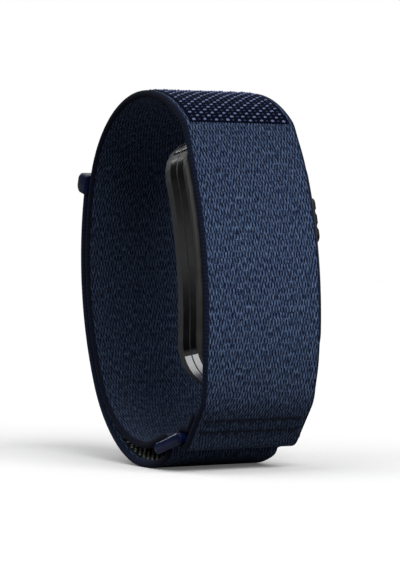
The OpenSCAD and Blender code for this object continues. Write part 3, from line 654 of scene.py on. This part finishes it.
# %% [markdown]
# ## The loop field
#
# The outer face of the closure carries small loops of yarn that the hooks catch. Each one is an
# arch of yarn on a woven ground. They could be a texture, but they stand in the outline of the
# crown, so they are real arches: one arch of a few faces, copied to every place of a grid as one
# array. Every second loop is smaller and darker.

# %% Loops and hooks on a ground
def scattered(stations, x, template, faces, size, lift):
    """Copies a template to each station and x: its first axis runs across, its second along the
    line, and its third away from the cloth."""
    a = np.radians(stations[:, 2])[:, None]
    t = template[None] * size[:, None, :]
    y = stations[:, :1] + t[..., 1] * np.cos(a) - (t[..., 2] + lift) * np.sin(a)
    z = stations[:, 1:2] + t[..., 1] * np.sin(a) + (t[..., 2] + lift) * np.cos(a)
    points = np.stack([x[:, None] + t[..., 0] + mid_x, y + path_shift, z], -1)
    shift = np.arange(len(x))[:, None, None] * len(template)
    return points.reshape(-1, 3), (faces[None] + shift).reshape(-1, faces.shape[1])


def arch(span, rise_to, yarn, steps=6, sides=5):
    """A half circle of yarn: rings of a small circle carried along an arch that starts and ends
    in the ground."""
    a = np.linspace(0, math.pi, steps + 1)[:, None]
    c = np.linspace(0, 2 * math.pi, sides, endpoint=False)[None]
    return np.stack([
        -span * np.cos(a) * (1 + yarn / span * np.cos(c)), yarn * np.sin(c) + 0 * a,
        rise_to * np.sin(a) * (1 + yarn / rise_to * np.cos(c)),
    ], -1)


def ground(stations, width, height):
    """A thin woven strip on the cloth, with its place to the left of the line."""
    edge = np.array([-width / 2, width / 2, width / 2, -width / 2])
    depth = np.array([0, 0, -height, -height])
    return onto_path(stations, edge[None, :], depth[None, :])


FIELD_SEED, FIELD_EDGE = 7, 0.35
SIZE_SPREAD, ROW_SPREAD, PLACE_SPREAD = 0.14, 0.06, 0.05


def field(
    name, stations, pitch, row_gap, template, height, width, size_of, lift, stagger=0.0, dim=0.22, **kwargs
):
    """A strip of ground with a grid of small shapes on it, every second row shifted by the
    stagger. The attribute tone says which shapes are bright."""
    lengths = length_along(stations)
    rows = np.arange(row_gap * 0.6, lengths[-1] - row_gap * 0.5, row_gap)
    columns = np.arange(-math.floor(width / 2 / pitch), math.floor(width / 2 / pitch) + 1)
    r, c = (v.ravel() for v in np.meshgrid(np.arange(len(rows)), columns, indexing="ij"))
    x = (c + stagger * (r % 2)) * pitch
    keep = np.abs(x) < width / 2 - FIELD_EDGE
    r, c, x = r[keep], c[keep], x[keep]
    rng = np.random.default_rng(FIELD_SEED)
    bright = ((c + r) % 2 == 0).astype(float)
    size = size_of(bright)[:, None] * (1 + rng.uniform(-SIZE_SPREAD, SIZE_SPREAD, (len(x), 3)))
    places = rows[r] + rng.uniform(-ROW_SPREAD, ROW_SPREAD, len(r)) * row_gap
    places = station_at(stations, lengths, places)
    skin = ground(stations, width, height)
    rings = template.reshape(-1, 3)
    sides, ends = tube(template)
    off_grid = x + rng.uniform(-PLACE_SPREAD, PLACE_SPREAD, len(x))
    loops, loop_quads = scattered(places, off_grid, rings, sides, size, lift)
    loop_ends = scattered(places, x, rings, ends, size, lift)[1]
    count = skin.shape[0] * skin.shape[1]
    points = np.vstack([skin.reshape(-1, 3), loops])
    faces = tube(skin) + [loop_quads + count, loop_ends + count]
    tones = np.concatenate([np.zeros(count), np.repeat(dim + (1 - dim) * bright, len(rings))])
    along_uv = np.broadcast_to(lengths[:, None], skin.shape[:2])
    uv = np.vstack([
        np.stack([skin[..., 0] - mid_x, along_uv], -1).reshape(-1, 2),
        np.stack([loops[:, 0] - mid_x, np.repeat(rows[r], len(rings))], -1),
    ])
    made = new_mesh(name, points, faces, uv=uv, floats={"tone": tones}, sharp=70, **kwargs)
    print(name, len(x), "shapes,", len(made.data.polygons), "faces")
    return made


def toned(name, dark, bright, scale, detail, gain, bump, **constants):
    """A finish whose brightness follows the attribute tone, made uneven by noise."""
    made, tree, shader = material(name, **constants)
    fuzz = noise(tree, cloth_place(tree), scale, detail)
    factor = maths(tree, "MULTIPLY_ADD", fuzz, gain, 0.5)
    share = maths(tree, "MULTIPLY", stored(tree, "tone"), factor, clamp=True)
    tree.links.new(mixed(tree, share, ink(*dark), ink(*bright)), shader.inputs["Base Color"])
    bumped(tree, shader, fuzz, bump)
    return made


loop_yarn = toned(
    "loop_yarn", (4, 7, 22), (108, 118, 154), 4.0, 3.0, 0.8, 0.06, Roughness=0.95, Specular_IOR_Level=0.03
)

TAPE_W = STRAP_W - 2.4
# The field starts below the crown, so its line takes in the last stations of the near wall
WALL_PART, FIELD_STEP = 60, 0.45
LOOP_PITCH, LOOP_ROW = 1.12, 0.93
over_line = np.vstack([up[-WALL_PART:], over])
over_lengths = body_length[crown_start - WALL_PART:][:len(over_line)]
pile_end = body_length[crown_start - 1 + len(far[0]) + len(far[1])]
pile_stations = station_at(over_line, over_lengths, np.arange(loops_from, pile_end, FIELD_STEP))
loop_shape = arch(0.17, 0.1, 0.17) * [1, 1.3, 1]
loop_field = field(
    "loop_field", pile_stations, LOOP_PITCH, LOOP_ROW, loop_shape, 0.06, TAPE_W,
    lambda bright: 0.8 + 0.25 * bright, 0.0, material=loop_yarn,
)
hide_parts("loop_pile")
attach(loop_field, "strap")

# %% [markdown]
# ## The hook tape
#
# The tail's inner face is a moulded tape of tiny hooks. Where the two layers part at the bottom it shows
# as rows of pale dots. Each hook is a short stem with a round head. The tape is one piece along the second
# layer.

# %% Hooks
def mushroom(radius, tall, sides=6):
    """A stem with a round head: rings whose radius follows a short list of heights."""
    rise_at = np.array([0.0, 0.55, 0.7, 1.0]) * tall
    girth = np.array([0.5, 0.45, 1.0, 0.6]) * radius
    a = np.linspace(0, 2 * math.pi, sides, endpoint=False)
    girth, rise_at = girth[:, None], rise_at[:, None]
    return np.stack([girth * np.cos(a), girth * np.sin(a), rise_at + 0 * a], -1)


hook_plastic = toned("hook_plastic", (16, 22, 28), (206, 216, 206), 3.0, 2.0, 1.0, 0.03, Roughness=0.45)

# The tape starts a few stations past the fold and ends short of the tab's grip
TAB_GRIP, TAPE_SHORT, TAPE_STEP, BARE_STATIONS = 2.6, 1.2, 0.6, 4
HOOK_PITCH, HOOK_ROW = 0.9, 0.8
second_layer = [straight(foot_start, foot_end), rise, tail_run]
low_line = np.vstack([eased(fold[-1], foot_start, 12)[BARE_STATIONS:], *second_layer])
hook_lengths = length_along(low_line)
hook_places = np.arange(0, hook_lengths[-1] - TAB_GRIP - TAPE_SHORT, TAPE_STEP)
hook_stations = station_at(low_line, hook_lengths, hook_places)
hook_tape = field(
    "hook_tape", hook_stations, HOOK_PITCH, HOOK_ROW, mushroom(0.26, 0.17), 0.05, TAPE_W,
    lambda bright: 0.9 + 0.1 * bright, 0.04, stagger=0.5, dim=0.7, material=hook_plastic,
)
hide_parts("hook_tape_base", "hook_tape_tail")
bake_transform(hook_tape)

# %% [markdown]
# ## The stitches
#
# Two rows of lock stitches close the eye. A machine stitch is a short length of thread that
# dives into the cloth at both ends, so each one is a thin rounded bar that is highest in its
# middle. The rows keep the distances that the photograph gives.

# %% Stitch rows
def stitch(long, thick, steps=6, sides=6):
    """A thread carried across the strap: its height follows half a sine, and it narrows to its
    ends."""
    a = np.linspace(0, math.pi, steps + 1)[:, None]
    c = np.linspace(0, 2 * math.pi, sides, endpoint=False)[None]
    r = thick / 2 * (0.55 + 0.45 * np.sin(a))
    height = thick * 0.55 * np.sin(a) - thick * 0.35 + r * np.sin(c)
    return np.stack([-long / 2 * np.cos(a) + 0 * c, r * np.cos(c), height], -1)


STITCH_L, STITCH_PITCH, THREAD, ROW_MARGIN = 2.12, 2.2, 0.5, 2.0
thread_group, given, result = group(
    "twisted_thread", [("Vector", "Vector", None), ("Pitch", "Float", 0.3)], [("Height", "Float")])
ply = add(thread_group, "ShaderNodeSeparateXYZ", {0: given["Vector"]}).outputs
slant = maths(thread_group, "ADD", ply[0], ply[2])
slant = maths(thread_group, "SINE", maths(thread_group, "DIVIDE", maths(
    thread_group, "MULTIPLY", slant, 2 * math.pi), given["Pitch"]))
thread_group.links.new(slant, result.inputs["Height"])
sewing_thread, tree, shader = material("sewing_thread", Roughness=0.6, Specular_IOR_Level=0.12)
twist = use(tree, thread_group, Vector=object_mm(tree), Pitch=0.3)["Height"]
thread_colour = mixed(tree, ramp(tree, twist, -1, 1), ink(4, 6, 15), ink(12, 17, 34))
tree.links.new(thread_colour, shader.inputs["Base Color"])
bumped(tree, shader, twist, 0.05)

seam_wall = np.vstack([flap[-1:], up])
wall_lengths = body_length[len(flap) - 1:crown_start]
template = stitch(STITCH_L, THREAD)
count = int((STRAP_W - ROW_MARGIN) / STITCH_PITCH)
row_x = (np.arange(count) - (count - 1) / 2) * STITCH_PITCH
row_places = np.repeat(station_at(seam_wall, wall_lengths, np.array(stitch_rows)), count, axis=0)
x = np.tile(row_x, len(stitch_rows))
ones = np.ones((len(x), 3))
threads, quads = scattered(row_places, x, template.reshape(-1, 3), tube(template)[0], ones, 0.03)
ends = scattered(row_places, x, template.reshape(-1, 3), tube(template)[1], ones, 0.03)[1]
stitches = new_mesh("stitches", threads, [quads, ends], material=sewing_thread)
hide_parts("seam_stitching")
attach(stitches, "strap")

# %% [markdown]
# ## The buckle
#
# The buckle is a ring of two round bars and two side legs, cast in metal and painted glossy
# navy. What shows in the picture is the end of one leg with a bright edge. A leg is a capsule
# outline whose faces are domed, made from rings that shrink along a quarter ellipse.

# %% Legs and bars
LEG_H, LEG_T, BAR_R, INNER, DOME, LET_IN = 2.1, 0.95, 0.9, 11.25, 0.8, 0.3


def capsule(length, radius, points=40):
    """A closed outline of two half circles joined by straight sides."""
    a = np.linspace(0, 2 * math.pi, points, endpoint=False) + math.pi / points
    shifted = radius * np.cos(a) + np.where(np.cos(a) > 0, length, 0)
    return np.column_stack([shifted, radius * np.sin(a)])


def along_buckle(x, along, up_from):
    """A place in the buckle's own frame: across, from the upper bar to the lower, and upwards."""
    c, s = math.cos(math.radians(BUCKLE_SLOPE)), math.sin(math.radians(BUCKLE_SLOPE))
    y = eye_at[0] + path_shift + along * c + up_from * s
    z = eye_at[1] - along * s + up_from * c
    return np.stack(np.broadcast_arrays(x + mid_x, y, z), -1)


def leg(side):
    """Rings across the leg's thickness. They shrink along a quarter ellipse towards each face,
    which makes both faces domed."""
    a = np.linspace(-math.pi / 2, math.pi / 2, 15)
    at, inset = LEG_T / 2 * (1 + np.sin(a)), DOME * LEG_H / 2 * (1 - np.cos(a))
    return np.stack([
        along_buckle(side * (INNER + LEG_T - t), *capsule(BAR_SPAN, LEG_H / 2 - i).T)
        for t, i in zip(at, inset)
    ])


def bar(along):
    """A round bar between the legs, let into each of them a little."""
    a = np.linspace(0, 2 * math.pi, 32, endpoint=False)
    x = np.linspace(-INNER - LET_IN, INNER + LET_IN, 3)[:, None]
    return along_buckle(x, along + BAR_R * np.cos(a), BAR_R * np.sin(a))


def joined(name, skins, **kwargs):
    """Several closed skins in one mesh."""
    points, faces, first = [], [], 0
    for rings in skins:
        faces += tube(rings, first)
        points.append(rings.reshape(-1, 3))
        first += len(points[-1])
    return new_mesh(name, np.vstack(points), faces, **kwargs)


gloss_group, given, result = group(
    "handled_gloss", [("Vector", "Vector", None), ("Fine", "Float", 30.0)],
    [("Height", "Float"), ("Smear", "Float")],
)
waves = noise(gloss_group, given["Vector"], 0.35)
grain = noise(gloss_group, given["Vector"], given["Fine"])
gloss_group.links.new(maths(gloss_group, "MULTIPLY_ADD", grain, 0.15, waves), result.inputs["Height"])
gloss_group.links.new(ramp(gloss_group, waves, 0.35, 0.7), result.inputs["Smear"])


def coloured(name, dark, light, rough, bump, fine=30.0, shine=0.5, metal=0.0, coat=0.0):
    """A moulded, painted or metal finish: a slow shift between two colours, roughness that
    varies with handling, and a fine grain in the normal."""
    made, tree, shader = material(name, Specular_IOR_Level=shine, Metallic=metal, Coat_Weight=coat)
    out = use(tree, gloss_group, Vector=object_mm(tree), Fine=fine)
    tree.links.new(mixed(tree, out["Smear"], ink(*dark), ink(*light)), shader.inputs["Base Color"])
    tree.links.new(ramp(tree, out["Smear"], 0, 1, *rough), shader.inputs["Roughness"])
    bumped(tree, shader, out["Height"], bump)
    return made


navy_paint = coloured("navy_paint", (10, 20, 52), (16, 29, 68), (0.12, 0.18), 0.02, shine=0.06)
navy_moulding = coloured("navy_moulding", (12, 20, 50), (18, 28, 62), (0.2, 0.32), 0.03, shine=0.18)
buckle = joined("buckle_ring", [leg(-1), leg(1), bar(0.0), bar(BAR_SPAN)], material=navy_paint)
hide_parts("buckle_loop")
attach(buckle, "buckle")

# %% [markdown]
# ## The end tab
#
# The tail ends in a moulded grip, with bevels that make it easy to pull. Its outline is a
# polygon whose corners are rounded, and it shrinks a little at both ends so that no edge is
# sharp.

# %% A rounded grip
TAB_L, TAB_RISE, TAB_OVER, TAB_BEVEL = 3.7, 1.9, 0.4, 0.8
TAB_CORNER, FILLET, END_SHRINK = 0.4, 0.5, 0.22


def rounded(corners, radius, steps=5):
    """A polygon with each corner replaced by a curve from one side to the next: a quadratic
    whose middle point is the corner."""
    before, after = np.roll(corners, 1, 0), np.roll(corners, -1, 0)
    a, b = (
        corners + radius * (other - corners) / np.linalg.norm(other - corners, axis=1, keepdims=True)
        for other in (before, after)
    )
    t = np.linspace(0, 1, steps)[None, :, None]
    curve = (1 - t) ** 2 * a[:, None] + 2 * t * (1 - t) * corners[:, None] + t * t * b[:, None]
    return curve.reshape(-1, 2)


tip = tail_run[-1]
tab_back, tab_top = TAB_GRIP - TAB_L, -STRAP_T - TAB_RISE
tab_corners = np.vstack([moved(tip, *corner) for corner in (
    (-TAB_GRIP, HOOK_H), (-tab_back, HOOK_H), (-tab_back, TAB_BEVEL + tab_top),
    (-tab_back - TAB_BEVEL, tab_top), (TAB_BEVEL - TAB_GRIP, tab_top), (-TAB_GRIP, TAB_BEVEL + tab_top),
)])[:, :2] + [path_shift, 0]
outline = rounded(tab_corners, TAB_CORNER)
centre = outline.mean(0)
a = np.linspace(0, math.pi / 2, 6)
shrink = 1 - END_SHRINK * (1 - np.sin(a))
shrink = np.concatenate([shrink, shrink[::-1]])
tab_x = STRAP_W / 2 + TAB_OVER
at = np.concatenate([-tab_x + FILLET * (1 - np.cos(a)), tab_x - FILLET * (1 - np.cos(a))[::-1]])
rings = centre + (outline[None] - centre) * shrink[:, None, None]
tab_points = np.concatenate([np.broadcast_to(at[:, None, None] + mid_x, (*rings.shape[:2], 1)), rings], -1)
end_tab = new_mesh("end_grip", tab_points, tube(tab_points), material=navy_moulding, sharp=60)
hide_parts("end_tab")
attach(end_tab, "tail")

# %% [markdown]
# ## The pod's finishes
#
# The pod's pieces come from the CAD model as they are, because their edges and gaps are what
# the picture shows. They only need materials: fine matt plastic for the case, mirror gloss
# for the bands, satin silver for the inlays, and the right look for everything inside.

# %% Materials for the CAD pieces
finishes = {
    "cradle_plate": coloured("cradle_black", (42, 42, 43), (50, 50, 51), (0.5, 0.65), 0.03, shine=0.3),
    "outer_shell": coloured("case_black", (26, 27, 28), (34, 35, 36), (0.45, 0.6), 0.03, shine=0.3),
    "outer_side_bands": coloured("band_gloss", (4, 4, 5), (7, 7, 8), (0.08, 0.12), 0.005, shine=0.2),
    "top_end_inlays": coloured(
        "satin_silver", (232, 233, 236), (244, 245, 247), (0.2, 0.3), 0.01, metal=1.0
    ),
    "case_seal": coloured("seal_rubber", (6, 6, 8), (10, 10, 12), (0.7, 0.85), 0.04, shine=0.1),
    "case_screws": coloured(
        "brushed_steel", (140, 142, 147), (170, 172, 176), (0.25, 0.45), 0.02, metal=1.0
    ),
    "skin_side_cover": coloured(
        "cover_grey", (38, 40, 42), (46, 48, 50), (0.5, 0.65), 0.04, fine=18.0, shine=0.3
    ),
    "sensor_window": coloured("window_glass", (4, 5, 8), (8, 9, 14), (0.03, 0.08), 0.005, coat=1.0),
    "light_barrier": coloured("barrier_black", (5, 5, 6), (9, 9, 10), (0.7, 0.9), 0.03),
    "leds": coloured("led_lens", (90, 205, 120), (120, 230, 150), (0.08, 0.2), 0.01),
    "photodiodes": coloured("sensor_dark", (30, 24, 50), (44, 36, 70), (0.1, 0.2), 0.01),
    "temperature_contact": coloured(
        "bright_metal", (200, 202, 206), (222, 224, 228), (0.1, 0.2), 0.01, metal=1.0
    ),
    "charging_contacts": coloured(
        "gold_plate", (196, 158, 84), (214, 178, 104), (0.15, 0.3), 0.01, metal=1.0
    ),
    "main_board": coloured("board_green", (18, 70, 42), (28, 92, 58), (0.3, 0.5), 0.02),
    "processor": coloured("chip_black", (24, 25, 28), (34, 35, 38), (0.5, 0.7), 0.02),
    "antenna": coloured("antenna_ceramic", (208, 202, 188), (222, 217, 204), (0.3, 0.5), 0.01),
    "battery": coloured(
        "cell_foil", (150, 154, 160), (176, 180, 186), (0.3, 0.5), 0.06, fine=3.0, metal=0.9
    ),
    "battery_pad": coloured("pad_foam", (60, 62, 70), (80, 82, 92), (0.85, 0.95), 0.08, fine=8.0),
    "side_button": coloured("button_black", (6, 6, 8), (10, 10, 12), (0.3, 0.45), 0.02, shine=0.2),
}
same_as = {
    "inner_side_bands": "outer_side_bands", "bottom_end_inlays": "top_end_inlays",
    "inner_shell": "outer_shell", "shield_can": "case_screws", "motor_can": "case_screws",
    "motor_rotor": "case_screws", "button_clip": "case_screws", "button_seal": "case_seal",
    "button_switch": "processor",
    "battery_lead": "charging_contacts",
}
for name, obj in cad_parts.items():
    finish = finishes.get(same_as.get(name, name))
    if finish and not obj.hide_render:
        obj.data.materials.clear()
        obj.data.materials.append(finish)

# %% [markdown]
# ## Floor, backdrop and light
#
# The picture is a packshot: white all round, with a soft shadow under the ring. The floor is
# pale and takes the shadow, and a little of its white is a glow that only the camera gets, direct
# or through clear pieces. What glossy pieces mirror is set apart from that: a sheet of floor near
# the band, a thin strip at the horizon and a tent overhead. Four suns light the band: one in
# front, one from the left, a wide one from above and a faint one from behind.

# %% The floor and the world
STRIP, TENT, SHEET, FAR_SHEET = 0.55, 0.95, 0.55, 0.02
SHEET_FROM, SHEET_TO = 0.05, 0.075
STRIP_DROP, STRIP_HALF, STRIP_FADE, TENT_FROM, TENT_TO = 0.012, 0.012, 0.03, 0.26, 0.4
FLOOR_GLOW, FLOOR_BOUNCE, FLOOR_HALF = 0.08, 0.3, 1500.0
WORLD_LIGHT = 0.09
floor_white, tree, shader = material(
    "floor_white", Roughness=0.9, Specular_IOR_Level=0.1, Emission_Strength=FLOOR_GLOW
)
floor_place = add(tree, "ShaderNodeTexCoord").outputs["Object"]
pale = mixed(tree, noise(tree, floor_place, 4.0), (0.97, 0.97, 0.97, 1), (0.99, 0.99, 0.99, 1))
path = add(tree, "ShaderNodeLightPath").outputs
away = add(tree, "ShaderNodeVectorMath", {0: floor_place}, operation="LENGTH").outputs["Value"]
sheet = ramp(tree, away, SHEET_FROM, SHEET_TO, SHEET, FAR_SHEET)
sheet = add(tree, "ShaderNodeCombineColor", {0: sheet, 1: sheet, 2: sheet}).outputs[0]
other = mixed(tree, path["Is Glossy Ray"], (*[FLOOR_BOUNCE] * 3, 1), sheet)
seen = maths(tree, "ADD", path["Is Camera Ray"], path["Is Transmission Ray"], clamp=True)
tree.links.new(mixed(tree, seen, other, pale), shader.inputs["Base Color"])
glow = mixed(tree, seen, (0, 0, 0, 1), (1, 1, 1, 1))
tree.links.new(glow, shader.inputs["Emission Color"])
floor_points = FLOOR_HALF * np.array([[-1, -1, 0], [1, -1, 0], [1, 1, 0], [-1, 1, 0]])
floor = new_mesh("floor", floor_points, [np.array([[0, 1, 2, 3]])], material=floor_white)

world = bpy.data.worlds.new("studio")
world.use_nodes = True
scene.world = world
tree = world.node_tree
background = tree.nodes["Background"]
background.inputs["Color"].default_value = (1, 1, 1, 1)
path = add(tree, "ShaderNodeLightPath").outputs
sky_place = add(tree, "ShaderNodeTexCoord").outputs["Generated"]
rise_of = add(tree, "ShaderNodeSeparateXYZ", {0: sky_place}).outputs[2]
off_strip = maths(tree, "ABSOLUTE", maths(tree, "ADD", rise_of, STRIP_DROP))
strip = ramp(tree, off_strip, STRIP_HALF, STRIP_FADE, STRIP, 0.0)
tent = ramp(tree, rise_of, TENT_FROM, TENT_TO, 0.0, TENT)
mirrored = maths(tree, "MULTIPLY", maths(tree, "ADD", strip, tent), path["Is Glossy Ray"])
seen = maths(tree, "ADD", path["Is Camera Ray"], path["Is Transmission Ray"])
white = maths(tree, "ADD", seen, mirrored)
tree.links.new(maths(tree, "MAXIMUM", white, WORLD_LIGHT), background.inputs["Strength"])


def sun(name, azimuth, height, softness, strength):
    """A sun: its azimuth is measured from the front of the near wall towards the right, its
    height from the floor, and its softness is its width in the sky, all in degrees."""
    data = bpy.data.lights.new(name, "SUN")
    data.energy, data.angle = strength, math.radians(softness)
    obj = bpy.data.objects.new(name, data)
    scene.collection.objects.link(obj)
    a, h = math.radians(azimuth), math.radians(height)
    toward = Vector((math.sin(a) * math.cos(h), -math.cos(a) * math.cos(h), math.sin(h)))
    obj.location = toward
    obj.rotation_euler = (-toward).to_track_quat("-Z", "Y").to_euler()


sun("key", 2, 42, 44, 2.1)
sun("side", -90, 55, 64, 1.2)
sun("top", 20, 78, 90, 0.35)
sun("rim", -172, 16, 8, 0.12)
scene.view_settings.view_transform = "Standard"

# %% [markdown]
# ## How true the points are
#
# The last step measures where each named thing shows, against its picture point, and prints the
# differences, with those of the four picture edges. Only what the camera sees counts, so each vertex is
# tested with a ray.

# %% Measures and the end
bpy.context.view_layer.update()
depsgraph = bpy.context.evaluated_depsgraph_get()


def vertices_of(obj):
    """The finished vertices of a piece, as an array."""
    shape = obj.evaluated_get(depsgraph)
    mesh = shape.to_mesh()
    points = np.empty(len(mesh.vertices) * 3)
    mesh.vertices.foreach_get("co", points)
    shape.to_mesh_clear()
    return points.reshape(-1, 3)


def showing(obj, most=1500, near_side=False):
    """Picture places of the vertices of a piece that nothing hides from the camera, or of those
    on the side nearer to it only."""
    points = vertices_of(obj)
    points = points[points[:, 0] < (mid_x - INNER) * MM] if near_side else points
    points = points[::max(1, len(points) // most)]
    eye = camera.matrix_world.translation
    seen = []
    for p in points:
        way = Vector(p) - eye
        hit, place, *_ = scene.ray_cast(depsgraph, eye, way.normalized())
        seen.append(hit and (place - eye).length > way.length - 0.25 * MM)
    return picture_place(points[seen]) if any(seen) else None


def middle(places):
    """The middle of the box round some picture places."""
    return (places.min(0) + places.max(0)) / 2


shown = [o for o in scene.objects if o.type == "MESH" and not o.hide_render and o is not floor]
everything = picture_place(np.vstack([vertices_of(o) for o in shown]))
report = {
    "left": everything[:, 0].min() - EDGES["left"], "right": everything[:, 0].max() - EDGES["right"],
    "top": everything[:, 1].min() - EDGES["top"], "bottom": everything[:, 1].max() - EDGES["bottom"],
}
report = {k: [round(v, 2)] for k, v in report.items()}


def station_shows(name, distance):
    """Where a row at a distance along the wall crosses the picture point's own column."""
    x = np.linspace(-11, 11, 45)[None, :]
    line = onto_path(station_at(body_line, body_length, [distance]), x, np.zeros((1, 1)))
    places = picture_place(line[0] * MM)
    shows_at = float(np.interp(POINTS[name][0], places[:, 0], places[:, 1]))
    return [0.0, round(shows_at - POINTS[name][1], 2)]


report["loop_field_edge"] = station_shows("loop_field_edge", loops_from)
report["upper_stitches"] = station_shows("upper_stitches", stitch_rows[0])
report["lower_stitches"] = station_shows("lower_stitches", stitch_rows[1])
for name, obj in {
    "end_tab": end_tab, "buckle_leg": buckle, "side_button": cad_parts["side_button"],
    "low_inlays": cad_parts["bottom_end_inlays"], "high_inlays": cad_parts["top_end_inlays"],
}.items():
    places = showing(obj, near_side=name == "buckle_leg")
    report[name] = None if places is None else [round(float(v), 2) for v in middle(places) - POINTS[name]]
print("points:", report)
